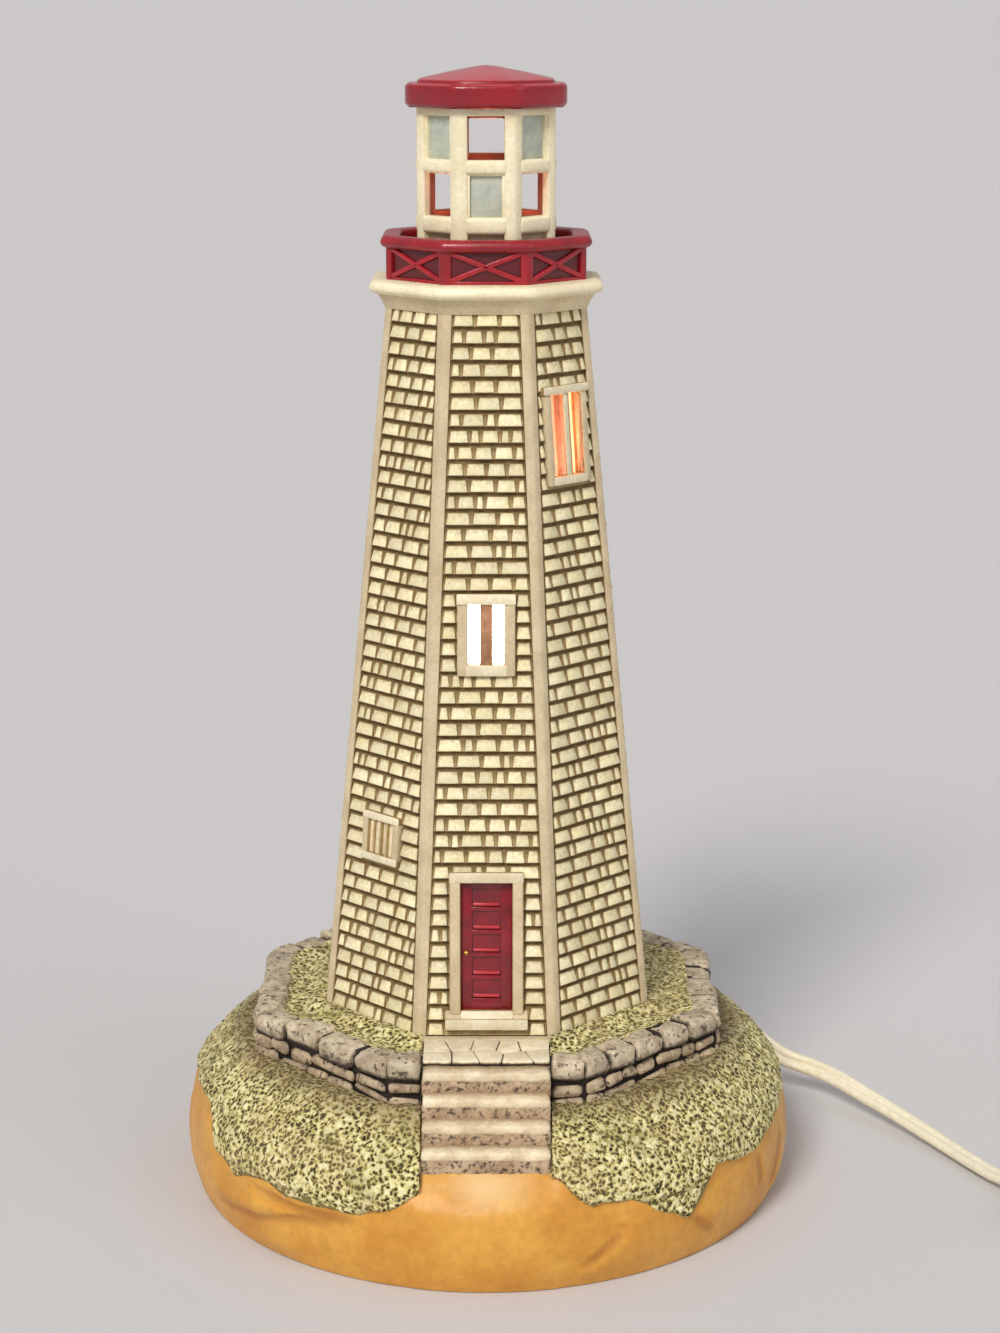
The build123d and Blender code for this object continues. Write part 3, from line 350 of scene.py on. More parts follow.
def wrapped_sheet(turns, rises, place, thick):
    """A thick sheet wrapped round the axis; place gives the point at a share round and a share up."""
    shape = new_shape()
    made = bmesh.ops.create_grid(shape, x_segments=turns, y_segments=rises, size=0.5)["verts"]
    wash = shape.verts.layers.float["wash"]
    for vert in made:
        vert.co, vert[wash] = place(vert.co.x + 0.5, vert.co.y + 0.5)
    bmesh.ops.remove_doubles(shape, verts=made, dist=0.02)
    bmesh.ops.recalc_face_normals(shape, faces=shape.faces)
    bmesh.ops.solidify(shape, geom=shape.faces, thickness=thick)
    return shape


def settle(name, shape, material, body, crease=38):
    """Turn a shape modelled in millimetres into a piece that rides on a body."""
    bmesh.ops.recalc_face_normals(shape, faces=shape.faces)
    bmesh.ops.scale(shape, vec=(MM, MM, MM), verts=shape.verts)
    mesh = bpy.data.meshes.new(name)
    shape.to_mesh(mesh)
    shape.free()
    mesh.shade_smooth()
    mesh.set_sharp_from_angle(angle=radians(crease))
    mesh.materials.append(material)
    piece = put_in(name, mesh)
    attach(piece, body)
    return piece


def rough_by(point, size):
    """Smooth noise from -1 to 1 at a point, with features of a size in millimetres."""
    return noise.noise(point / size)


# Tooled folds in the sand, each a line of (degrees from the front, level) points.
FOLDS = [
    [(-62.0, 7.0), (-44.0, 10.0), (-33.0, 15.0), (-27.0, 15.6)], [(24.8, 15.6), (20.5, 11.0), (15.5, 5.4)],
    [(59.0, 20.8), (60.5, 9.5)], [(38.5, 13.2), (41.0, 9.5), (45.0, 4.6)],
    [(-46.0, 18.6), (-34.0, 17.0), (-22.0, 17.6)], [(75.0, 21.0), (70.0, 12.0), (66.0, 6.0)],
    [(-86.0, 22.0), (-78.0, 12.0)], [(110.0, 17.0), (104.0, 9.0), (101.0, 4.0)],
    [(160.0, 14.0), (152.0, 12.0), (146.0, 6.0)], [(-120.0, 16.0), (-127.0, 7.0)],
    [(-160.0, 6.0), (-168.0, 15.0)],
]
# A degree round the sand, in millimetres.
DEGREE = 1.48
# The turf's lower edge over the sand, as (degrees from the front, level).
TURF_EDGE = [
    (-180, 25), (-165, 21), (-148, 26), (-126, 20), (-104, 26.5), (-84, 30), (-66, 30), (-58, 22.5),
    (-51, 18.7), (-43, 22), (-37, 19.4), (-22, 20), (-14, 25), (-9.5, 30.5), (12.5, 30.5), (19, 23.3),
    (26, 23.3), (31, 18.5), (37.5, 14.2), (45, 25), (55, 22.3), (68, 25.4), (90, 28), (104, 24),
    (116, 21), (138, 27), (160, 21), (180, 25),
]


def turf_edge(turn):
    """The level of the turf's lower edge, with small scallops."""
    for (t0, z0), (t1, z1) in zip(TURF_EDGE, TURF_EDGE[1:]):
        if turn <= t1:
            scallop = 0.7 * abs(sin(radians(turn * 26))) + 0.5 * rough_by(Vector((turn, 0, 0)), 5)
            return z0 + (z1 - z0) * (turn - t0) / (t1 - t0) - 0.5 - scallop
    return TURF_EDGE[-1][1]


def fold_at(turn, level):
    """A fold's groove at a place, from 0 to 1, and the swell beside it, from -1 to 1."""
    groove, swell = 0.0, 0.0
    for line in FOLDS:
        for count, ((t0, z0), (t1, z1)) in enumerate(zip(line, line[1:])):
            run = Vector(((t1 - t0) * DEGREE, z1 - z0))
            spot = Vector(((turn - t0) * DEGREE, level - z0))
            share = min(1, max(0, spot.dot(run) / run.length_squared))
            away = spot - run * share
            ends = (count + share) / (len(line) - 1)
            hold = min(1, 4 * ends, 4 * (1 - ends)) ** 0.5
            groove = max(groove, hold * exp(-((away.length / 1.9) ** 2)))
            bank = hold * copysign(exp(-((away.length / 6) ** 2)), run.cross(away))
            if abs(bank) > abs(swell):
                swell = bank
    return groove, swell * min(1, 6 * (1 - groove))


def soft_least(first, second, ease):
    """The smaller of two values, with the change from one to the other eased."""
    share = min(1, max(0, 0.5 + (second - first) / (2 * ease)))
    return second + (first - second) * share - ease * share * (1 - share)


def sand_at(share, rise):
    """The sand's surface at a share round from the back and a share up, and its wash value."""
    bearing = pi / 2 + 2 * pi * share
    level = 0.25 + rise * SAND_TOP
    turn = from_front(bearing)
    reach = base_reach(bearing, level) + 0.8 * max(0, min(1, (level - 15) / 6)) * (level < 21)
    aside = abs(reach * cos(bearing)) if sin(bearing) < 0 else 99
    ahead = min(1, max(0, (STAIR_HALF + 4 - aside) / 3.5))
    reach += (soft_least(reach, apron_reach(bearing, level), 2.6) + 0.3 - reach) * ahead
    groove, swell = fold_at(turn, level)
    spot = around(bearing, reach, level)
    lump = rough_by(spot, 26) + 0.5 * rough_by(spot + Vector((9, 4, 2)), 11)
    hold = min(1, level / 5) * (1 - 0.6 * ahead)
    proud = 0.5 + hold * (max(-0.3, 1.0 * lump) + 0.8 * swell - 1.0 * groove)
    if level > turf_edge(turn) + 1:
        proud = 0.3
    pale = 0.8 * exp(-((turn / 7.5) ** 2) - ((level - 28) / 4.5) ** 2)
    return around(bearing, reach + max(0.22, proud), level), max(0, 0.62 - 0.5 * groove + 0.2 * lump) + pale


sand, tree, shader = finish("sand_paint")
brush = brush_on(tree, (222, 164, 68), (204, 140, 48), 55.0, 420.0)
high = read(tree, "wash")
# Low wash values, in the creases, give the darker brown: partly the brown coat, partly painted shade in the
# creases.
colour = mixed(tree, spread(tree, high, 0.45, 0.1, 0, 0.6), brush["Color"], shade(150, 86, 32))
colour = mixed(tree, spread(tree, high, 0.8, 1.7, 0, 0.75), colour, shade(232, 206, 156))
stain = spread(tree, grain(tree, 210, 5, 0.7), 0.66, 0.74, 0, 0.45)
colour = mixed(tree, stain, colour, shade(140, 84, 36))
coat(tree, shader, colour, spread(tree, brush["Rough"], 0.4, 0.65, 0.36, 0.5), brush["Height"], 0.1)
settle("sand_skirt", wrapped_sheet(540, 44, sand_at, 1.6), sand, "base")

# Turf: the stippled grass that hangs over the sand in a wavy rounded lip and runs up to the foot of the wall.
# It was pressed into the mould, flooded with a dark wash and dry-brushed yellow-green on its tips.
SLOPE_SHARE, STAIR_GAP = 0.82, 0.2


def octagon_reach(bearing, apothem):
    """How far an octagon with a flat to the front comes out at a bearing."""
    return apothem / cos((bearing - pi / 8) % (pi / 4) - pi / 8)


def beside_steps(share, reach):
    """The bearing at a share of the way round from one side of the steps to the other."""
    half = pi - asin((STAIR_HALF + STAIR_GAP) / reach)
    return radians(FRONT) + pi - half + 2 * half * share


def tufts(spot):
    """The height of the tufts at a place, from about -1 to 1, and their light and dark."""
    stipple = rough_by(spot, 1.7)
    return stipple, 0.5 + 0.5 * stipple + 0.1 * rough_by(spot, 7)


def turf_at(share, rise):
    """The turf on the mound, from its wavy lip at the bottom to the wall."""
    bearing = radians(FRONT + 12 + 336 * share)
    edge = turf_edge(from_front(bearing))
    climb = MOUND_TOP - edge
    if rise < SLOPE_SHARE:
        level = edge + climb * rise / SLOPE_SHARE
        reach = base_reach(bearing, level)
    else:
        level = MOUND_TOP
        inward = octagon_reach(bearing, 61.2) - MOUND_REACH
        reach = MOUND_REACH + inward * (rise - SLOPE_SHARE) / (1 - SLOPE_SHARE)
    bearing = beside_steps(share, reach)
    spot = around(bearing, reach, level)
    tuft, light = tufts(spot)
    swell = 0.35 * rough_by(spot, 9)
    lip = min(1, rise / SLOPE_SHARE * climb / 1.5)
    proud = 0.25 + (1.75 + swell + 0.4 * tuft * lip) * (lip * (2 - lip)) ** 0.5
    slope = min(1, max(0, (level - 24) / 17))
    out = Vector((cos(bearing), sin(bearing), 0.25 + 0.9 * slope)).normalized()
    return spot + out * proud, max(0, light)


turf, tree, shader = finish("turf_paint", Roughness=0.72)
high = read(tree, "wash")
BEND = 0.0026
place = here(tree)
swirl = node(tree, "TexNoise", {"Vector": place, "Scale": 430.0, "Detail": 2.0}).outputs["Color"]
bent = vector(tree, "MULTIPLY_ADD", swirl, (BEND, BEND, BEND), place)
cells = node(tree, "TexVoronoi", {"Vector": bent, "Scale": 840.0}).outputs["Distance"]
blade = reckon(tree, "ADD", cells, spread(tree, grain(tree, 1300, 2), 0.3, 0.7, -0.12, 0.12))
blade = reckon(tree, "ADD", blade, spread(tree, high, 0, 1, -0.1, 0.1))
colour = stepped(
    tree, blade,
    (0.2, shade(38, 30, 17)), (0.33, shade(104, 90, 46)), (0.45, shade(176, 160, 92)),
    (0.58, shade(222, 209, 138)), (0.78, shade(245, 236, 184)),
)
dusty = mixed(tree, 0.5, colour, shade(184, 154, 104))
colour = mixed(tree, spread(tree, grain(tree, 70, 3), 0.46, 0.64, 0, 0.6), colour, dusty)
green = mixed(tree, 0.4, colour, shade(116, 112, 48))
colour = mixed(tree, spread(tree, grain(tree, 95, 2), 0.54, 0.66, 0, 0.8), colour, green)
level = level_of(tree, place)
near, below = spread(tree, level, 0.0385, 0.0425, 0, 0.6), spread(tree, level, 0.048, 0.046)
colour = mixed(tree, reckon(tree, "MULTIPLY", near, below), colour, shade(112, 88, 56))
coat(tree, shader, colour, None, blade, 0.9)
settle("mound_turf", wrapped_sheet(640, 56, turf_at, 1.3), turf, "base", 70)

# Wall: field stones laid dry in uneven rows under a coping of bigger rounded stones, all part of the casting.
# Warm grey-brown paint, black-brown wash in the joints and cream dry-brushed on the edges.
WALL = 61.8
STONE_ROWS = [(MOUND_TOP - 0.3, 3.5), (MOUND_TOP + 3.2, 3.7)]
COPING_FOOT, COPING_TOP = 47.9, 53.4
FLATS = 8
HALF_FLAT = tan(pi / FLATS)
draw = random.Random(41)


def face_seat(index, apothem, level=0.0, lean=0.0):
    """Where a flat of the octagon lies: across to the right, up, and out of the face."""
    bearing = radians(FRONT + 360 / FLATS * index)
    flat = Vector((cos(bearing), sin(bearing), 0))
    across = Vector((-sin(bearing), cos(bearing), 0))
    out = (flat + Vector((0, 0, lean))).normalized()
    up = out.cross(across)
    seat = Matrix((across, up, out)).transposed().to_4x4()
    seat.translation = flat * apothem + Vector((0, 0, level))
    return seat


def rounded(shape, geom, offset, segments=2, affect="EDGES", clamp=False):
    """Round edges or corners; returns the new points."""
    return bmesh.ops.bevel(
        shape, geom=geom, offset=offset, affect=affect, segments=segments, profile=0.5, material=-1,
        clamp_overlap=clamp,
    )["verts"]


def block(shape, seat, low, high, edge, segments=2, carve=None, tone=None):
    """A block with rounded edges between two corners of a seat; carve may move its points first."""
    cube = bmesh.ops.create_cube(shape, size=2 * edge)["verts"]
    rims = list({rim for vert in cube for rim in vert.link_edges})
    made = rounded(shape, rims, edge * 0.97, segments)
    wash, tones = shape.verts.layers.float["wash"], shape.verts.layers.float["tone"]
    tone = draw.random() if tone is None else tone
    middle = [(a + b) / 2 for a, b in zip(low, high)]
    stretch = [(b - a) / 2 - edge for a, b in zip(low, high)]
    for vert in made:
        front = vert.co.z > 0.1 * edge
        vert[wash], vert[tones] = (1.0 if front else 0.0), tone
        spot = Vector(m + c + copysign(s, c) for m, c, s in zip(middle, vert.co, stretch))
        vert.co = seat @ (carve(spot) if carve else spot)
    return made


def row_of(start, end, least, most):
    """Split a stretch into random lengths, in order; returns (start, end) pairs."""
    marks = [start]
    while marks[-1] < end:
        marks.append(marks[-1] + draw.uniform(least, most))
    if end - marks[-2] < least and len(marks) > 2:
        marks.pop(-2)
    marks[-1] = end
    return list(zip(marks, marks[1:]))


def wall_runs(index, half):
    """The stretches of a wall's face beside the steps."""
    clear = STAIR_HALF + STAIR_GAP
    return [(-half, half)] if index else [(-half, -clear), (clear, half)]


def worn(size, amount):
    """A carve that wears a block unevenly."""
    shift = Vector((draw.uniform(0, 900), draw.uniform(0, 900), draw.uniform(0, 900)))
    return lambda spot: spot + Vector([rough_by(spot + shift * (n + 1), size) for n in range(3)]) * amount


def mitred(apothem, gap, tilt=0.0, rough=0.75):
    """A carve that keeps a stone inside its own face at the octagon's corners, tilts and roughens it."""
    wear = worn(2.8, rough)
    start = []

    def carve(spot):
        if not start:
            start.append(spot.x)
        spot.y += tilt * (spot.x - start[0])
        spot = wear(spot)
        most = (apothem + spot.z) * HALF_FLAT - gap
        spot.x = max(-most, min(most, spot.x))
        return spot

    return carve


stone = painted(
    "field_stone", (200, 178, 146), (150, 127, 101), 260, 1100, 0.3,
    wash=(34, 26, 20), low=0.25, high=1.0, pits=(62, 47, 36), Roughness=0.72,
)
shape = new_shape()
for index in range(FLATS):
    seat = face_seat(index, WALL)
    for start, end in wall_runs(index, WALL * HALF_FLAT):
        for level, tall in STONE_ROWS:
            for left, right in row_of(start, end, 5.5, 13.0):
                low = (left + 0.1, level + draw.uniform(-0.3, 0.7), -1.6)
                high = (right - 0.1, level + tall - draw.uniform(-0.2, 0.6), draw.uniform(1.0, 2.0))
                edge = min(1.7, (high[1] - low[1]) / 2.05, (high[0] - low[0]) / 2.05)
                block(shape, seat, low, high, edge, 4, carve=mitred(WALL, 0.25, draw.uniform(-0.1, 0.1)))
settle("wall_stones", shape, stone, "base", 60)

coping = painted(
    "coping_stone", (218, 202, 172), (172, 152, 126), 240, 1000, 0.4,
    wash=(46, 36, 28), low=0.05, high=0.9, pits=(70, 56, 44), Roughness=0.68,
)
shape = new_shape()
for index in range(FLATS):
    seat = face_seat(index, WALL)
    to_face = seat.inverted()
    for start, end in wall_runs(index, (WALL + 1.6) * HALF_FLAT):
        for left, right in row_of(start, end, 7.0, 15.0):
            top = COPING_TOP + draw.uniform(0, 0.9)
            low = (left + 0.05, COPING_FOOT + draw.uniform(-0.6, 0.5), -6.4 - draw.uniform(0, 0.5))
            high = (right - 0.05, top, 1.2 + draw.uniform(0, 0.9))
            for vert in block(shape, seat, low, high, 2.1, 5, carve=mitred(WALL, 0.2, 0.0, 1.0)):
                # Each coping stone's wash value falls towards its foot and its ends: painted shade on its
                # lower part, and dark joints between the stones.
                along = (to_face @ vert.co).x
                rise = (vert.co.z - COPING_FOOT - 0.3) / 2.6
                ends = min(along - left, right - along) / 1.1 + 0.1
                vert[shape.verts.layers.float["wash"]] = max(0.0, min(1.0, rise, ends))
settle("coping_stones", shape, coping, "base", 60)

# Steps: four treads with rounded worn noses, speckled risers under them, and a landing of crazy paving in
# front of the door. All cast in one with the base and painted beige, with cream on the noses.
STEPS, STEP_RISE, STEP_RUN, STAIR_FOOT = 5, 5.3, 4.7, 29.6
LANDING, LANDING_EDGE, LANDING_STEP = 53.0, 61.0, 1.6
UPRIGHT = Matrix(((1, 0, 0, 0), (0, 0, -1, 0), (0, 1, 0, 0), (0, 0, 0, 1)))


def join(shape, part):
    """Put a part's shape into another and drop it."""
    mesh = bpy.data.meshes.new("part")
    part.to_mesh(mesh)
    part.free()
    shape.from_mesh(mesh)
    bpy.data.meshes.remove(mesh)


def worn_slab(shape, wear, low, high, edge, segments, nose=None):
    """A block across the steps, cut along its length and worn; its wash is wiped off towards a nose."""
    slab = new_shape()
    block(slab, UPRIGHT, low, high, edge, segments)
    longest = [rim for rim in slab.edges if abs(rim.verts[1].co.x - rim.verts[0].co.x) > 4]
    bmesh.ops.subdivide_edges(slab, edges=longest, cuts=24, use_grid_fill=True)
    for vert in slab.verts:
        if nose:
            vert[slab.verts.layers.float["wash"]] = max(0.0, min(1.0, (-vert.co.y - nose + 2.2) / 2.0))
        vert.co = wear(vert.co)
    join(shape, slab)


def step_place(step):
    """How far out a step's nose is, and the level of its top; step 0 is the landing."""
    return LANDING_EDGE + step * STEP_RUN, LANDING - (LANDING_STEP + (step - 1) * STEP_RISE if step else 0)


riser_paint, tree, shader = finish("riser_paint", Roughness=0.75)
brush = brush_on(tree, (198, 172, 140), (168, 140, 110), 180.0, 900.0)
pits = spread(tree, grain(tree, 620, 3, 0.7), 0.5, 0.62, 0, 0.9)
coat(tree, shader, mixed(tree, pits, brush["Color"], shade(62, 50, 40)), None, brush["Height"], 0.4)
shape = new_shape()
for step in range(STEPS):
    nose, top = step_place(step)
    low = (-STAIR_HALF - 0.1, max(STAIR_FOOT, top - STEP_RISE - 1), nose - 1.5)
    worn_slab(shape, worn(2.4, 0.3), low, (STAIR_HALF + 0.1, top - 1.2, nose + 0.6), 0.4, 2)
settle("step_risers", shape, riser_paint, "base", 60)

tread_paint = painted(
    "tread_paint", (236, 220, 186), (210, 188, 154), 150, 900, 0.25,
    wash=(172, 146, 114), low=0.1, high=0.9, Roughness=0.66,
)
shape = new_shape()
for step in range(1, STEPS):
    nose, top = step_place(step)
    low = (-STAIR_HALF, top - 2.0, nose - STEP_RUN - 1.0)
    worn_slab(shape, worn(3.0, 0.34), low, (STAIR_HALF, top + 0.7, nose + 0.9), 1.0, 3, nose)
settle("step_treads", shape, tread_paint, "base", 60)

paving = painted(
    "paving_paint", (244, 231, 200), (222, 205, 172), 200, 900, 0.3,
    wash=(92, 70, 48), low=0.1, high=0.9, Roughness=0.66,
)
FLAGS, FLAG_BACK, FLAG_FRONT, FLAG_JOINT = 5, 46.4, 61.6, 0.16
seeds = []
for row, deep in enumerate((-50.2, -57.6)):
    for n in range(FLAGS):
        across = 2 * STAIR_HALF * (n + 0.3 + 0.4 * row) / FLAGS - STAIR_HALF + draw.uniform(-1.5, 1.5)
        seeds.append(Vector((across, deep + draw.uniform(-1.4, 1.4), 0)))
shape = new_shape()
for seed in seeds:
    flag = new_shape()
    flag.faces.new([
        flag.verts.new((side * STAIR_HALF, -deep, LANDING - 0.4))
        for side, deep in ((-1, FLAG_BACK), (-1, FLAG_FRONT), (1, FLAG_FRONT), (1, FLAG_BACK))
    ])
    for other in seeds:
        apart = other - seed
        if apart.length:
            edge = seed + apart / 2 - apart.normalized() * FLAG_JOINT
            bmesh.ops.bisect_plane(
                flag, geom=flag.verts[:] + flag.edges[:] + flag.faces[:], plane_co=edge, plane_no=apart,
                clear_outer=True,
            )
    rounded(flag, flag.verts[:], 0.7, affect="VERTICES", clamp=True)
    risen = bmesh.ops.extrude_face_region(flag, geom=flag.faces[:], use_keep_orig=True)["geom"]
    top = [vert for vert in risen if isinstance(vert, bmesh.types.BMVert)]
    bmesh.ops.translate(flag, vec=(0, 0, draw.uniform(0.85, 1.1)), verts=top)
    bmesh.ops.recalc_face_normals(flag, faces=flag.faces)
    rims = [edge for edge in flag.edges if all(vert in top for vert in edge.verts)]
    rounded(flag, rims, 0.25, clamp=True)
    tone = draw.uniform(0.5, 1.0)
    for vert in flag.verts:
        vert[flag.verts.layers.float["wash"]] = 1.0 if vert.co.z > LANDING + 0.2 else 0.0
        vert[flag.verts.layers.float["tone"]] = tone
    join(shape, flag)
settle("landing_paving", shape, paving, "base", 60)

# Terrace turf: the same stippled grass inside the wall, round the foot of the tower.
TERRACE = 51.8


def terrace_at(share, rise):
    """The turf from the foot of the tower, over its plinth, to the back of the coping."""
    apothem = 44.3 + 12.1 * rise
    bearing = beside_steps(share, octagon_reach(radians(FRONT + 17 + 326 * share), apothem))
    spot = around(bearing, octagon_reach(bearing, apothem), TERRACE)
    tuft, light = tufts(spot)
    bank = 0.9 * max(0, 2 * rise - 1) ** 2 + 1.75 * max(0, min(1, (0.42 - rise) / 0.2))
    return spot + Vector((0, 0, 0.7 + bank + 0.3 * tuft + 0.2 * rough_by(spot, 8))), max(0, light + 0.06)


settle("terrace_turf", wrapped_sheet(420, 20, terrace_at, 0.9), turf, "base", 70)

# Plinth: the narrow tan kerb that the tower stands in, cast with the base.
CORNER = cos(pi / FLATS)


def eight_sided(profile, rounding, soften, closed=True):
    """Spin a profile of (apothem, level) points round the axis in eight flats.
    Rounding is for the profile's corners and soften for the octagon's."""
    shape = new_shape()
    bearing = pi / FLATS
    points = [shape.verts.new(around(bearing, apothem / CORNER, level)) for apothem, level in profile]
    for run in zip(points, points[1:] + points[:1] * closed):
        shape.edges.new(run)
    made = rounded(shape, points if closed else points[1:-1], rounding, 3, "VERTICES")
    points = list(set(v for v in points if v.is_valid) | set(made))
    edges = list({e for v in points for e in v.link_edges})
    bmesh.ops.spin(
        shape, geom=points + edges, cent=(0, 0, 0), axis=(0, 0, 1), angle=2 * pi, steps=FLATS,
        use_merge=True,
    )
    bmesh.ops.recalc_face_normals(shape, faces=shape.faces)
    corners = []
    for edge in shape.edges:
        first, second = (vert.co.xy for vert in edge.verts)
        upright = (second.normalized() - first.normalized()).length < 0.01
        if len(edge.link_faces) == 2 and upright and min(first.length, second.length) > 12:
            if edge.calc_face_angle(0) > 0.2:
                corners.append(edge)
    rounded(shape, corners, soften, clamp=True)
    return shape


pilaster_paint = painted(
    "pilaster_paint", (214, 196, 160), (198, 178, 142), 120, 1000, 0.12, Roughness=0.62
)
shape = eight_sided([(44.35, 51.9), (46.9, 51.9), (46.9, 53.7), (44.35, 53.9)], 0.35, 0.5)
settle("tower_plinth", shape, pilaster_paint, "base")

# Nipple, washers and locknuts: the zinc-plated threaded tube that clamps the lamp fitting to the base's deck.


def metal(name, patch, dark, light, fine, smooth, dull, height, depth):
    """A bare metal, mottled and unevenly worn."""
    made, tree, shader = finish(name, Metallic=1.0)
    wear = spread(tree, grain(tree, fine), 0.3, 0.7, smooth, dull)
    coat(tree, shader, mottled(tree, patch, shade(*dark), shade(*light)), wear, grain(tree, height), depth)
    return made


zinc = metal("zinc_plate", 300, (168, 170, 172), (206, 208, 208), 900, 0.28, 0.45, 1600, 0.03)
refinish(zinc, "threaded_nipple", "nipple_washers", "nipple_locknuts")

# Socket: a spun brass cap and shell over a fibre liner, with a moulded body, an aluminium screw shell and a
# brass centre contact.
brass = metal("spun_brass", 120, (176, 136, 62), (214, 176, 96), 700, 0.24, 0.42, 1500, 0.02)
refinish(brass, "socket_cap", "socket_shell", "socket_centre_contact", "switch_contacts", "plug_blades")
aluminium = metal("drawn_aluminium", 240, (188, 190, 192), (218, 220, 222), 800, 0.25, 0.4, 1500, 0.02)
refinish(aluminium, "socket_screw_shell", "bulb_screw_cap")
fibre = painted("fibre_board", (96, 82, 70), (78, 66, 58), 300, 1800, 0.1, Roughness=0.85)
refinish(fibre, "socket_liner")
phenolic = painted("phenolic_moulding", (52, 40, 34), (38, 30, 27), 200, 1400, 0.03, Roughness=0.4)
refinish(phenolic, "socket_body")

# Bulb: a frosted glass envelope on a screw cap, with a glass stem and a tungsten filament. It is alight, so
# the glass itself glows and fills the tower through its windows.
black_glass = painted("black_glass", (30, 28, 32), (18, 17, 20), 200, 1200, 0.02, Roughness=0.2)
refinish(black_glass, "bulb_cap_insulator")
solder = painted("soldered_tip", (170, 168, 160), (138, 136, 130), 400, 1500, 0.08, Metallic=1.0)
refinish(solder, "bulb_tip_contact")
GLOW = 26.0
glow, tree, shader = finish("lit_bulb_glass", Roughness=0.35, Emission_Strength=GLOW)
warm = mottled(tree, 90, (1.0, 0.78, 0.55, 1), (1.0, 0.84, 0.64, 1), 2)
coat(tree, shader, mottled(tree, 300, shade(236, 232, 222), shade(248, 244, 236)))
tree.links.new(warm, shader.inputs["Emission Color"])
refinish(glow, "bulb_glass")
clear, tree, shader = finish("clear_glass", Roughness=0.08, IOR=1.5, Transmission_Weight=1.0)
coat(tree, shader, mottled(tree, 200, (0.9, 0.93, 0.92, 1), (0.97, 0.98, 0.98, 1)))
refinish(clear, "bulb_stem")
tungsten, tree, shader = finish("hot_tungsten", Metallic=1.0, Roughness=0.5, Emission_Strength=20.0)
coat(tree, shader, mottled(tree, 900, shade(90, 86, 80), shade(120, 114, 106)))
hot = mottled(tree, 700, (1, 0.62, 0.3, 1), (1, 0.74, 0.42, 1))
tree.links.new(hot, shader.inputs["Emission Color"])
refinish(tungsten, "bulb_filament")

# Tower casting: the hollow eight-sided shell, with a mortar-brown wash outside, between the bricks, and a
# terracotta slip inside, where the bulb shines on it; near its top the slip has a painted glow, light it
# emits to stand for the bulb's light on the thin shell.
FOOT_APOTHEM, TOP_APOTHEM, TOWER_FOOT, TOWER_HEIGHT = 43.9, 26.0, 53.4, 190.4


def octagon_at(tree):
    """The apothem of the octagon through a place, in metres."""
    apothem = 0.0
    for index in range(FLATS // 2):
        bearing = 2 * pi * index / FLATS
        along = vector(tree, "DOT_PRODUCT", here(tree), (cos(bearing), sin(bearing), 0), out="Value")
        apothem = reckon(tree, "MAXIMUM", apothem, reckon(tree, "ABSOLUTE", along, 0.0))
    return apothem


core, tree, shader = finish("tower_core", Roughness=0.82)
level = level_of(tree, here(tree))
foot, head = TOWER_FOOT * MM, (TOWER_FOOT + TOWER_HEIGHT) * MM
face = spread(tree, level, foot, head, FOOT_APOTHEM * MM, TOP_APOTHEM * MM)
sunk = reckon(tree, "SUBTRACT", face, octagon_at(tree))
# Deeper mortar is painted darker: partly the brown wash pooled there, partly painted shadow of the course
# above.
deep_mortar_shaded = mottled(tree, 500, shade(100, 80, 46), shade(140, 114, 70), 4)
upright = mottled(tree, 500, shade(164, 138, 90), shade(192, 168, 118), 4)
mortar = mixed(tree, spread(tree, sunk, 0.00012, 0.00042), upright, deep_mortar_shaded)
slip = mottled(tree, 60, shade(240, 188, 158), shade(248, 206, 180))
inside = spread(tree, sunk, 0.0022, 0.0026)
coat(tree, shader, mixed(tree, inside, mortar, slip), None, grain(tree, 900, 4), 0.25)
# Painted glow: the inside slip emits a little light near the tower's top, standing in for the bulb's light on
# it.
tree.links.new(slip, shader.inputs["Emission Color"])
painted_glow = reckon(tree, "MULTIPLY", inside, spread(tree, level, 0.16, 0.2, 0, 0.5))
tree.links.new(painted_glow, shader.inputs["Emission Strength"])
refinish(core, "tower_casting")

# Pilasters: the plain flat strips that run up the tower's eight corners, painted tan.


def corner_bars(foot, top, foot_level, top_level, half, proud, deep, rounding):
    """Eight bars up the octagon's corners, each a strip folded over its corner."""
    shape = new_shape()
    bearing = radians(FRONT) + pi / FLATS
    radial = Vector((cos(bearing), sin(bearing), 0))
    across = Vector((-sin(bearing), cos(bearing), 0))
    fold = radians(180 / FLATS)
    start = radial * (foot / CORNER) + Vector((0, 0, foot_level))
    end = radial * (top / CORNER) + Vector((0, 0, top_level))
    outline = []
    for lift, sides in ((proud, (-1, 0, 1)), (-deep, (1, 0, -1))):
        for side in sides:
            spot = across * (side * half * cos(fold)) - radial * (abs(side) * half * sin(fold))
            outward = radial if side == 0 else radial * cos(fold) + across * (side * sin(fold))
            outline.append(shape.verts.new(start + spot + outward * lift))
    end_cap = shape.faces.new(outline)
    risen = bmesh.ops.extrude_face_region(shape, geom=[end_cap], use_keep_orig=True)["geom"]
    lifted = [v for v in risen if isinstance(v, bmesh.types.BMVert)]
    bmesh.ops.translate(shape, vec=end - start, verts=lifted)
    bmesh.ops.recalc_face_normals(shape, faces=shape.faces)
    run = (end - start).normalized()
    arrises = [
        e for e in shape.edges
        if abs((e.verts[1].co - e.verts[0].co).normalized().dot(run)) > 0.99
        and e.calc_face_angle(0) > 0.3
    ]
    rounded(shape, arrises, rounding)
    bmesh.ops.spin(
        shape, geom=shape.verts[:] + shape.edges[:] + shape.faces[:], cent=(0, 0, 0), axis=(0, 0, 1),
        angle=2 * pi * (FLATS - 1) / FLATS, steps=FLATS - 1, use_duplicate=True,
    )
    return shape


shape = corner_bars(
    FOOT_APOTHEM, TOP_APOTHEM, TOWER_FOOT + 0.1, TOWER_FOOT + TOWER_HEIGHT, 2.05, 0.3, 1.2, 0.3
)
settle("tower_pilasters", shape, pilaster_paint, "tower")
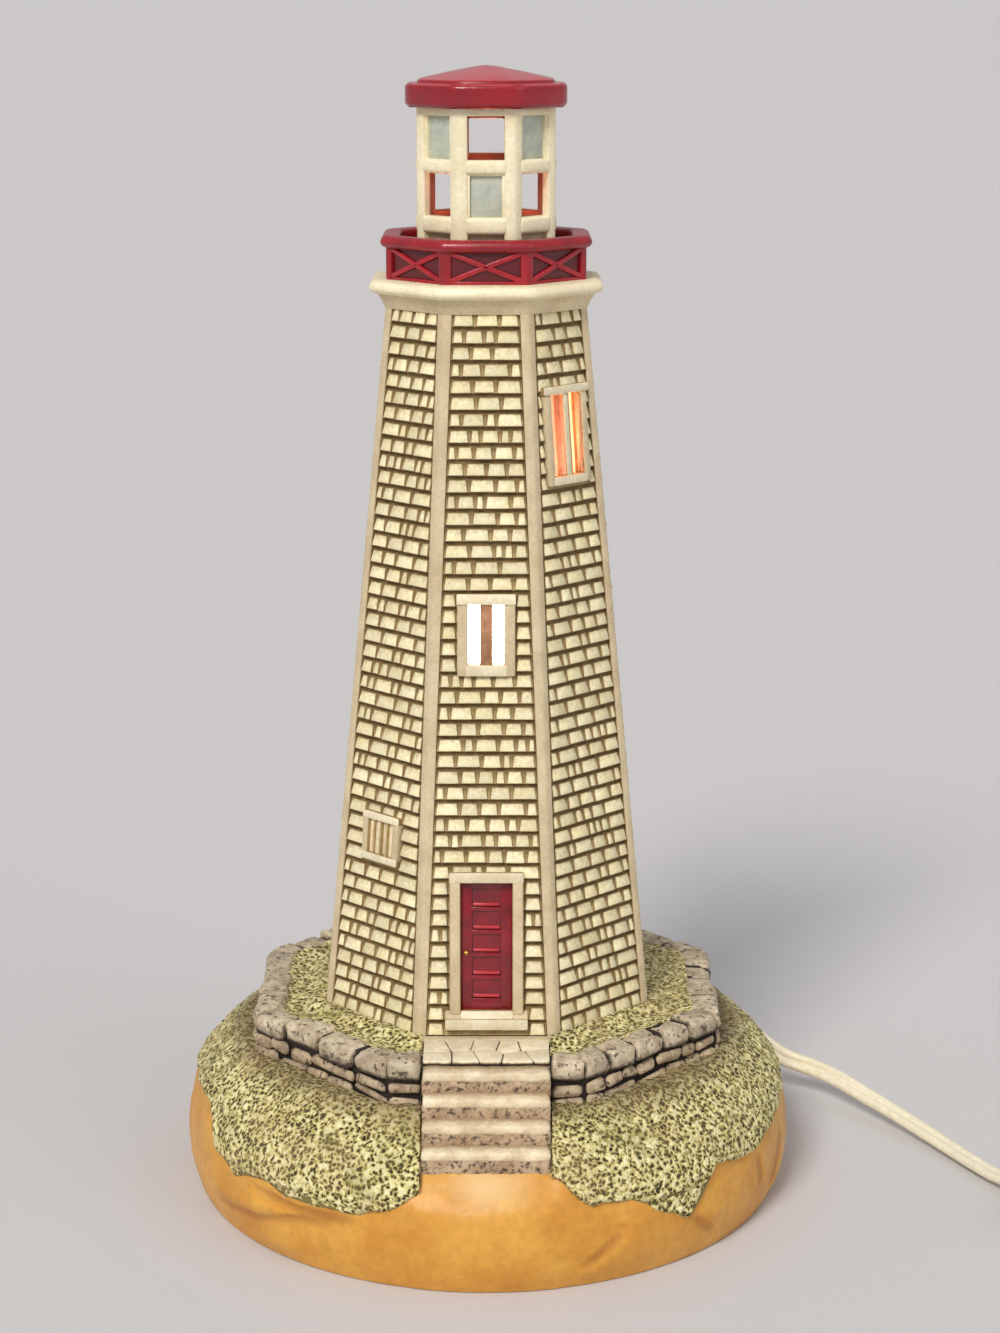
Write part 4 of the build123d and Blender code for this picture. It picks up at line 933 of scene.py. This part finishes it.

# Bricks: 45 courses on each face, each brick cast with its lower edge standing out further than its top, like
# a shingle, and narrower at its top, so that the upright joints are wedges. Cream with a brown wash, and
# painted shade that darkens the upper part of each brick.
COURSES, COURSE, BRICK_TALL, PANEL = 45, 4.25, 3.25, -0.8
FOOT_HALF, TOP_HALF, PANEL_LENGTH = 16.08, 8.67, 191.24
LEAN = (FOOT_APOTHEM - TOP_APOTHEM) / TOWER_HEIGHT
# What stands in a face: (face, half width, lowest, highest, how far its frame covers a brick), up the slope
# from the tower's foot.
SET_IN = [
    (0, 11.1, 0.0, 6.9, 1.9), (0, 9.9, 6.8, 44.9, 2.6), (0, 7.6, 96.2, 118.9, 2.5),
    (0, 8.2, 116.6, 119.4, 2.7), (1, 7.6, 145.7, 171.6, 1.9), (7, 6.9, 43.9, 57.1, 1.8),
]


def tower_seat(index):
    """Where one of the tower's leaning faces lies."""
    return face_seat(index, FOOT_APOTHEM, TOWER_FOOT, LEAN)


def free_runs(index, low, high, half):
    """The stretches of a course that no door or window takes up."""
    runs = [(-half, half)]
    for face, reach, bottom, top, cover in SET_IN:
        if face == index and min(high, top) - max(low, bottom) > cover:
            parts = [part for a, b in runs for part in ((a, min(b, -reach)), (max(a, reach), b))]
            runs = [(start, end) for start, end in parts if end - start > 0.8]
    return runs


def bricks_in(start, end, above):
    """Brick ends along a run, of mixed lengths, away from the joints of the course below."""
    marks = [start]
    while end - marks[-1] > 0.01:
        for _ in range(8):
            long = draw.uniform(2.3, 3.3) if draw.random() < 0.28 else draw.uniform(4.4, 7.2)
            mark = marks[-1] + long
            if all(abs(mark - joint) > 0.9 for joint in above):
                break
        if end - mark < 2.0:
            mark = end
        marks.append(mark)
    return marks


brick_paint = painted(
    "brick_paint", (250, 239, 198), (240, 225, 176), 140, 1200, 0.15,
    wash=(136, 110, 64), low=0.1, high=0.95, Roughness=0.6,
)
bricks = new_shape()
for index in range(FLATS):
    shape = new_shape()
    seat = tower_seat(index)
    to_face = seat.inverted()
    below = []
    for course in range(COURSES):
        low = 0.42 + course * COURSE
        half = FOOT_HALF + (TOP_HALF - FOOT_HALF) * (low / PANEL_LENGTH) - 0.15
        joints = []
        for start, end in free_runs(index, low, low + BRICK_TALL, half):
            marks = bricks_in(start, end, below)
            joints += marks[1:-1]
            for left, right in zip(marks, marks[1:]):
                wide = min(0.52, (right - left) / 6)
                stand = draw.uniform(1.2, 1.45)
                middle = (left + right) / 2

                def shingle(spot):
                    rise = (spot.y - low) / BRICK_TALL
                    spot.x += (middle - spot.x) / max(0.3, right - left) * 2 * wide * rise
                    if spot.z > PANEL + 0.3:
                        spot.z -= 0.7 * rise
                    return spot

                made = block(
                    shape, seat, (left + 0.2, low + draw.uniform(-0.08, 0.08), PANEL - 0.3),
                    (right - 0.2, low + BRICK_TALL, PANEL + stand), 0.32, 1, shingle,
                )
                # The wash value falls towards each brick's top: painted shade on its upper part, under the
                # course above.
                for vert in made:
                    rise = ((to_face @ vert.co).y - low) / BRICK_TALL
                    vert[shape.verts.layers.float["wash"]] *= 1 - 0.42 * rise
        below = joints
    join(bricks, shape)
settle("tower_bricks", bricks, brick_paint, "tower", 50)

# Door: a glossy red leaf with five sunk panels and a gilt knob, in beige jambs with a cream lintel, a sloping
# threshold and a doorstep, all cast in the front face.
door_red = painted(
    "door_red", (140, 9, 26), (114, 5, 20), 160, 700, 0.06,
    wash=(72, 2, 13), low=0.0, high=0.8, Roughness=0.22, Coat_Weight=0.5, Coat_Roughness=0.12,
)
DOOR_HALF, DOOR_SILL, DOOR_TALL = 6.95, 6.8, 35.3
LINTEL, SLOPE = DOOR_SILL + DOOR_TALL, hypot(1, LEAN)


def pair(shape, seat, low, high, edge, tone=None):
    """Two blocks, left and right of a seat's middle; low and high give the right one's corners."""
    for side in (-1, 1):
        left, right = sorted((side * low[0], side * high[0]))
        block(shape, seat, (left, *low[1:]), (right, *high[1:]), edge, tone=tone)


front = tower_seat(0)
shape = new_shape()
block(shape, front, (-DOOR_HALF, DOOR_SILL, -3.0), (DOOR_HALF, LINTEL, -1.95), 0.2, 1, tone=0.35)
pair(shape, front, (3.75, DOOR_SILL, -2.6), (DOOR_HALF, LINTEL, -1.25), 0.35, 0.6)
middle = DOOR_SILL * SLOPE + DOOR_TALL / 2 + 0.65
PANEL_PITCH, PANEL_HALF = 6.2, 2.45
middles = [middle + n * PANEL_PITCH for n in range(-2, 3)]
rails = [DOOR_SILL, *(level + side * PANEL_HALF for level in middles for side in (-1, 1)), LINTEL]
for bottom, top in zip(rails[::2], rails[1::2]):
    block(shape, front, (-4.2, bottom, -2.6), (4.2, top, -1.2), 0.4, tone=0.7)
settle("door_leaf", shape, door_red, "tower")
# The lower ledge of each sunk panel is painted a lighter red: a painted highlight where the light from above
# catches it.
ledge_highlight_red = painted(
    "ledge_highlight_red", (200, 56, 66), (176, 34, 48), 200, 700, 0.05,
    Roughness=0.3, Coat_Weight=0.4, Coat_Roughness=0.15,
)
shape = new_shape()
for level in middles:
    foot = level - PANEL_HALF
    block(shape, front, (-3.6, foot + 0.1, -2.4), (3.6, foot + 1.0, -1.5), 0.4, tone=0.9)
settle("door_panel_ledges", shape, ledge_highlight_red, "tower")

gilt, tree, shader = finish("gilt_knob", Metallic=1.0, Roughness=0.3)
coat(tree, shader, mottled(tree, 900, shade(206, 150, 60), shade(236, 190, 104)))
shape = new_shape()
knob = bmesh.ops.create_uvsphere(shape, u_segments=16, v_segments=10, radius=0.75)["verts"]
bmesh.ops.scale(shape, vec=(1, 1, 0.8), verts=knob)
bmesh.ops.transform(shape, matrix=front @ Matrix.Translation((-5.4, 22.6, -0.9)), verts=knob)
settle("door_knob", shape, gilt, "tower")

trim_paint = painted(
    "trim_paint", (240, 228, 196), (222, 206, 170), 160, 1000, 0.1,
    wash=(150, 122, 80), low=0.0, high=0.7, Roughness=0.6,
)
shape = new_shape()
block(shape, front, (-9.9, LINTEL - 0.2, -1.4), (9.9, LINTEL + 2.7, 1.35), 0.45)
block(shape, front, (-11.0, 2.25, -1.4), (11.0, 5.2, 2.2), 0.5)


def threshold(spot):
    """Slope the threshold down from the door to the doorstep's edge."""
    if spot.y > 6 and spot.z > 0:
        spot.z -= 1.75
    return spot


block(shape, front, (-7.0, 4.4, -2.6), (7.0, 7.15, 2.1), 0.3, 2, threshold)
settle("door_lintel_and_step", shape, trim_paint, "tower")
shape = new_shape()
for side in (-1, 1):
    inner, outer = sorted((side * 6.9, side * 9.75))
    block(shape, front, (inner, 6.4, -2.6), (outer, LINTEL + 0.2, 1.15), 0.35)
    inner, outer = sorted((side * 6.9, side * 10.95))
    block(shape, front, (inner, 4.4, -2.6), (outer, 7.15, 2.1), 0.3, 2, threshold)
settle("door_jambs", shape, pilaster_paint, "tower")

# Windows: cast frames on three faces. The front and the right one have two slots through the wall beside a
# mullion, a lintel slab and a sill; the left one is closed with upright planks.
dark_wood = painted("mullion_brown", (184, 136, 98), (148, 100, 68), 300, 1200, 0.1, Roughness=0.7)
# The right window's mullion is painted salmon and glows: painted light from the bulb on its sides. Its own
# colour is the cream strip laid on its front.
painted_glow_slip = painted(
    "painted_glow_slip", (250, 206, 184), (242, 190, 164), 60, 900, 0.1, Roughness=0.75,
    Emission_Color=shade(248, 164, 130), Emission_Strength=0.55,
)
frames, sills, mullions, lit = new_shape(), new_shape(), new_shape(), new_shape()
for index, sill, slot, tall, mullion, jamb, head in (
    (0, 99.4, 3.1, 16.0, 3.3, 2.8, 2.8), (1, 147.2, 4.4, 21.6, 2.2, 2.1, 2.1),
):
    seat = tower_seat(index)
    base = sill * SLOPE
    inner = slot + mullion / 2
    pair(frames, seat, (inner, base - jamb, -1.6), (inner + jamb, base + tall + 1.0, 1.3), 0.35)
    over = 0.2 if index == 0 else 0.7
    block(
        sills, seat, (-inner - jamb - over, base + tall - 0.1, -1.6),
        (inner + jamb + over, base + tall + head, 1.75), 0.45,
    )
    block(sills, seat, (-inner - 0.7, base - jamb - 0.05, -1.6), (inner + 0.7, base + 0.15, 1.5), 0.45)
    if index == 0:
        block(mullions, seat, (-mullion / 2, base, -4.6), (mullion / 2, base + tall, 1.2), 0.4)
    else:
        block(lit, seat, (-mullion / 2, base, -4.6), (mullion / 2, base + tall, 1.0), 0.4)
        block(sills, seat, (-mullion / 2 - 0.05, base, 0.5), (mullion / 2 - 0.5, base + tall, 1.25), 0.3)
seat = tower_seat(7)
base = 45.6 * SLOPE
pair(frames, seat, (4.9, base - 1.9, -1.6), (6.9, base + 11.2, 1.25), 0.35)
block(sills, seat, (-6.95, base + 9.3, -1.6), (6.95, base + 11.4, 1.5), 0.4)
block(sills, seat, (-6.95, base - 1.95, -1.6), (6.95, base + 0.1, 1.5), 0.4)
settle("window_jambs", frames, pilaster_paint, "tower")
settle("window_lintels_and_sills", sills, trim_paint, "tower")
settle("window_mullions", mullions, dark_wood, "tower")
settle("window_lit_mullion", lit, painted_glow_slip, "tower")
planks = painted(
    "plank_paint", (247, 232, 196), (230, 210, 170), 200, 900, 0.2,
    wash=(146, 114, 74), low=0.1, high=0.8, Roughness=0.65,
)
shape = new_shape()
for n in range(4):
    left = -5 + n * 2.5 + 0.1
    block(shape, seat, (left, base, -2.0), (left + 2.3, base + 9.5, 0.35 + draw.uniform(-0.2, 0.2)), 0.35)
settle("window_planks", shape, planks, "tower")

# Gallery flange: the rounded cream ledge at the tower's head, with a hollow cove under it, painted a darker
# cream as painted shade under the ledge.
cream = painted("cream_glaze", (250, 238, 202), (238, 222, 184), 70, 900, 0.08, Roughness=0.5)
shaded_cove_cream = painted("shaded_cove_cream", (226, 208, 168), (206, 186, 146), 90, 900, 0.1, Roughness=0.6)
shape = eight_sided(
    [(24.0, 243.4), (26.3, 242.9), (27.3, 245.2), (28.7, 247.3), (28.0, 248.6), (24.0, 248.6)], 0.4, 0.4
)
settle("flange_cove", shape, shaded_cove_cream, "tower")
shape = eight_sided(
    [(24.0, 247.0), (28.9, 246.95), (30.4, 247.8), (30.6, 249.0), (29.8, 250.2), (28.0, 250.6), (14.3, 250.6),
     (14.3, 248.6), (24.0, 248.6)],
    0.5, 0.8,
)
settle("flange_bead", shape, cream, "tower")

# Gallery railing: a red glazed parapet ring with corner posts, crossed ridges in every panel and a rounded,
# bulging top rail. It stands on the flange.
GALLERY, DECK, PARAPET = 250.4, 250.5, 26.0
railing_red = painted(
    "railing_red", (174, 18, 34), (148, 10, 26), 130, 800, 0.1,
    wash=(92, 2, 14), low=0.0, high=0.7, Roughness=0.38, Coat_Weight=0.25, Coat_Roughness=0.2,
)
rail_wall = eight_sided([(22.6, DECK), (25.35, DECK), (25.35, 259.4), (22.6, 259.4)], 0.2, 0.3)
rail_bars = corner_bars(PARAPET, PARAPET, DECK, 259.9, 1.9, 0.12, 1.5, 0.35)
rail_top = eight_sided(
    [(22.6, 258.6), (26.2, 258.6), (27.5, 259.4), (27.7, 260.6), (26.6, 262.0), (22.6, 261.8)], 0.75, 1.0
)
for shape, amount in ((rail_bars, 0.75), (rail_top, 0.9)):
    for vert in shape.verts:
        vert[shape.verts.layers.float["wash"]] = amount
for index in range(FLATS):
    seat = face_seat(index, PARAPET, GALLERY)
    half = PARAPET * HALF_FLAT - 1.6
    block(rail_bars, seat, (-half, 0.1, -1.4), (half, 1.1, -0.1), 0.35, tone=0.6)
    rise = 3.55
    long = hypot(half, rise)
    for side in (-1, 1):
        tilt = Matrix.Translation((0, 1.1 + rise, 0)) @ Matrix.Rotation(side * atan2(rise, half), 4, "Z")
        block(rail_bars, seat @ tilt, (-long, -0.75, -1.4), (long, 0.75, 0.12), 0.55, tone=0.8)
settle("railing_posts_and_braces", rail_bars, railing_red, "tower")
settle("railing_top_rail", rail_top, railing_red, "tower")
railing = settle("railing_parapet", rail_wall, railing_red, "tower")
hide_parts("gallery_railing")

# Lantern room: an eight-sided cream cage on a terracotta core, flat posts at its corners, rounded rails
# between them, and lights that are open or closed by turns.
LANTERN = 17.65
room_paint, tree, shader = finish("lantern_room_paint", Roughness=0.7)
outer = brush_on(tree, (246, 236, 202), (232, 218, 180), 90.0, 900.0)
inner = brush_on(tree, (152, 92, 74), (126, 72, 58), 90.0, 700.0)
deep = spread(tree, reckon(tree, "SUBTRACT", LANTERN * MM, octagon_at(tree)), 0.0014, 0.0019)
coat(tree, shader, mixed(tree, deep, outer["Color"], inner["Color"]), None, inner["Height"], 0.15)
refinish(room_paint, "lantern_room")
lantern_cream = painted(
    "lantern_cream", (247, 236, 202), (233, 219, 180), 90, 900, 0.1, Roughness=0.5
)
shape = corner_bars(LANTERN, LANTERN, DECK, 294.6, 2.5, 0.4, 1.0, 0.45)
settle("lantern_posts", shape, lantern_cream, "tower")
pane_paint = painted("pane_paint", (196, 200, 182), (172, 178, 164), 160, 900, 0.1, Roughness=0.55)
rails, panes, edging = new_shape(), new_shape(), new_shape()
for index in range(FLATS):
    seat = face_seat(index, LANTERN, GALLERY)
    for low, high, proud, edge, segments in (
        (12.2, 16.6, 0.75, 1.1, 3), (27.5, 31.2, 0.75, 1.1, 3), (42.2, 44.2, 0.35, 0.4, 2)
    ):
        block(rails, seat, (-5.6, low, -1.6), (5.6, high, proud), edge, segments)
    bottom, top = (16.6, 27.6) if index % 2 == 0 else (31.1, 42.6)
    block(panes, seat, (-4.8, bottom - 0.1, -2.2), (4.8, top + 0.1, -1.1), 0.3)
    pair(edging, seat, (4.1, bottom, -1.9), (5.1, top, -0.15), 0.3)
    block(edging, seat, (-4.6, top - 0.5, -1.9), (4.6, top + 0.3, -0.2), 0.3)
settle("lantern_rails", rails, lantern_cream, "tower")
settle("lantern_closed_panes", panes, pane_paint, "tower")
settle("lantern_pane_edging", edging, lantern_cream, "tower")

# Roof cap: a red glazed lid with a thick rounded brim, a ledge and a low eight-sided cone, whose spigot drops
# into the lantern.
roof_red, tree, shader = finish("roof_red", Roughness=0.3, Coat_Weight=0.35, Coat_Roughness=0.12)
brush = brush_on(tree, (156, 13, 30), (132, 8, 24), 80.0, 700.0)
# Faces that look upward are painted a lighter pink-red: a painted sheen, the glaze's reflection of the room
# above.
upward = level_of(tree, node(tree, "NewGeometry").outputs["Normal"])
painted_sheen = mixed(tree, spread(tree, upward, 0.6, 0.96, 0, 0.6), brush["Color"], shade(216, 80, 86))
coat(tree, shader, painted_sheen, None, brush["Height"], 0.1)
shape = eight_sided(
    [(0.02, 305.0), (2.5, 304.7), (9.0, 303.45), (17.7, 301.5), (18.1, 300.5), (20.4, 300.5), (21.0, 299.9),
     (21.0, 295.5), (20.2, 294.5), (14.05, 294.5), (14.05, 291.9), (11.7, 291.9), (11.7, 297.5),
     (0.02, 297.5)],
    0.35, 2.2, closed=False,
)
bmesh.ops.remove_doubles(shape, verts=shape.verts, dist=0.05)
roof = settle("roof_cap_glazed", shape, roof_red, "tower")
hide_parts("roof_cap")

# Cord: a cream vinyl flat twin lead. It leaves the grommet on edge, turns flat and drops to the table, runs
# through the in-line switch, and its spare length is coiled on edge beside the lamp and tied.
vinyl = painted("cord_vinyl", (240, 232, 206), (228, 218, 190), 30, 600, 0.03, Roughness=0.42)
refinish(vinyl, "inner_lead")
CORD_WIDE, CORD_THICK = 5.4, 2.7
exit_place = Vector((70.053, 42.092, 20.5))
outward = Vector((0.857, 0.515, 0))
switch_along = Vector((0.5, -0.866, 0))
switch_side = Vector((0.866, 0.5, 0))
switch_middle = Vector((170.053, -70.008, 6.5))
coil_middle = Vector((233.053, -76.008, 0))
ON_EDGE, FLAT = pi / 2, 0.0
# The lead's points, each with its turn about the lead.
route = [(exit_place, ON_EDGE), (exit_place + outward * 9, ON_EDGE)]
for across, deep, level, turn in (
    (13, 6.5, 15.5, 1.4), (19, 6.2, 11, 1.2), (26.5, 3.5, 9.4, 0.9), (33.5, -2.6, 8.4, 0.6),
    (40.5, -11.9, 7, 0.35), (49.5, -23.5, 5.2, 0.2), (58.5, -36.7, 3.4, 0.1), (66.5, -51.1, 2.5, FLAT),
    (73, -64.7, 3, FLAT),
):
    route.append((Vector((exit_place.x + across, exit_place.y + deep, level)), turn))
for along, side in ((-41.7, 0), (-30, 0), (-14, -8.4), (14, -8.4), (30, 0), (39, 0)):
    route.append((switch_middle + switch_along * along + switch_side * side, FLAT))
for spot, turn in (
    ((196.253, -109.908, 5.3), 0.4), ((204.453, -113.608, 4.2), 0.9), ((213.353, -115.008, 3.7), 1.3),
    ((225.053, -115.008, 3.6), ON_EDGE),
):
    route.append((Vector(spot), turn))
HALF_TURNS, TURN_POINTS = 7, 8
COIL_LOW, COIL_HIGH, COIL_REACH, COIL_SHRINK = 3.6, 9.15, 39.0, 2.6
reaches = [COIL_REACH - COIL_SHRINK * n for n in range(HALF_TURNS + 1)]
reaches += reaches[::-1]
for count, (first, second) in enumerate(zip(reaches, reaches[1:])):
    side = -1 if count % 2 == 0 else 1
    middle = coil_middle + Vector((0, side * (first - second) / 2, 0))
    radius = (first + second) / 2 / cos(pi / TURN_POINTS / 2)
    for n in range(TURN_POINTS):
        share = (n + 0.5) / TURN_POINTS
        bearing = side * pi / 2 + pi * share
        level = COIL_LOW if count < HALF_TURNS else COIL_HIGH
        if count == HALF_TURNS:
            level = COIL_LOW + (COIL_HIGH - COIL_LOW) * share
        route.append((around(bearing, radius, level) + middle, ON_EDGE))
for spot, turn in (
    ((229.053, -37.008, 9.1), ON_EDGE), ((220.053, -37.008, 9), 1.4), ((212.553, -33.808, 5.4), 0.9),
    ((207.253, -26.808, 3.6), 0.4), ((204.453, -18.008, 4.2), FLAT), ((204.053, -9.008, 7.5), FLAT),
    ((204.053, 3.0, 7.5), FLAT),
):
    route.append((Vector(spot), turn))
line = bpy.data.curves.new("cord_line", "CURVE")
line.dimensions, line.twist_mode, line.resolution_u = "3D", "Z_UP", 6
spline = line.splines.new("NURBS")
spline.points.add(len(route) - 1)
for point, (spot, turn) in zip(spline.points, route):
    point.co, point.tilt = (*(spot * MM), 1), turn
spline.order_u = 3
spline.use_endpoint_u = True
guide = put_in("cord_line", line)
followed = bpy.data.meshes.new_from_object(guide)
outline = bpy.data.curves.new("cord_outline", "CURVE")
outline.dimensions = "2D"
section = outline.splines.new("POLY")
LOBE_POINTS, LOBE_REACH, lobe = 11, 158, (CORD_WIDE - CORD_THICK) / 2
section.points.add(2 * LOBE_POINTS - 1)
for n, point in enumerate(section.points):
    side, count = (1, n) if n < LOBE_POINTS else (-1, n - LOBE_POINTS)
    bearing = radians(LOBE_REACH * (2 * count / (LOBE_POINTS - 1) - 1))
    across = side * (lobe + CORD_THICK / 2 * cos(bearing))
    point.co = (across * MM, side * CORD_THICK / 2 * sin(bearing) * MM, 0, 1)
section.use_cyclic_u = True
former = put_in("cord_outline", outline)
line.bevel_mode, line.bevel_object, line.use_fill_caps = "OBJECT", former, True
bpy.context.view_layer.update()
mesh = bpy.data.meshes.new_from_object(guide.evaluated_get(bpy.context.evaluated_depsgraph_get()))
mesh.name = "cord_lead"
for spare in (guide, former):
    bpy.data.objects.remove(spare)
bpy.data.meshes.remove(followed)
mesh.materials.clear()
mesh.materials.append(vinyl)
mesh.shade_smooth()
mesh.set_sharp_from_angle(angle=radians(60))
cord = put_in("cord_lead", mesh)
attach(cord, "base")
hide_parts("cord_free_stretch", "cord_switch_link", "cord_coil", "cord_plug_tail")

# Grommet, switch and plug: cream moulded fittings on the cord, the grommet pressed into the base's hole, the
# switch screwed together round the lead and the plug moulded on its end. A tie holds the coil.
fitting = painted("fitting_plastic", (232, 222, 192), (222, 210, 180), 80, 1200, 0.04, Roughness=0.4)
refinish(
    fitting, "cord_grommet", "switch_lower_housing", "switch_upper_housing", "plug_body", "switch_thumbwheel"
)
refinish(zinc, "switch_screw")
tie_paint = painted("tie_plastic", (236, 234, 228), (222, 220, 214), 200, 1200, 0.05, Roughness=0.45)
shape = new_shape()
seat = Matrix.Translation(coil_middle)
TIE_IN, TIE_OUT, TIE_HALF = 18.2, 41.6, 3.0
for low, high in (
    ((TIE_IN - 0.9, -TIE_HALF, 0.05), (TIE_OUT + 0.9, TIE_HALF, 0.75)),
    ((TIE_IN - 0.9, -TIE_HALF, 12.0), (TIE_OUT + 0.9, TIE_HALF, 12.7)),
    ((TIE_IN - 0.9, -TIE_HALF, 0.1), (TIE_IN - 0.15, TIE_HALF, 12.65)),
    ((TIE_OUT + 0.15, -TIE_HALF, 0.1), (TIE_OUT + 0.9, TIE_HALF, 12.65)),
):
    block(shape, seat, low, high, 0.3)
tie = settle("coil_tie_strap", shape, tie_paint, "base")
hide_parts("coil_tie")

low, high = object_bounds()
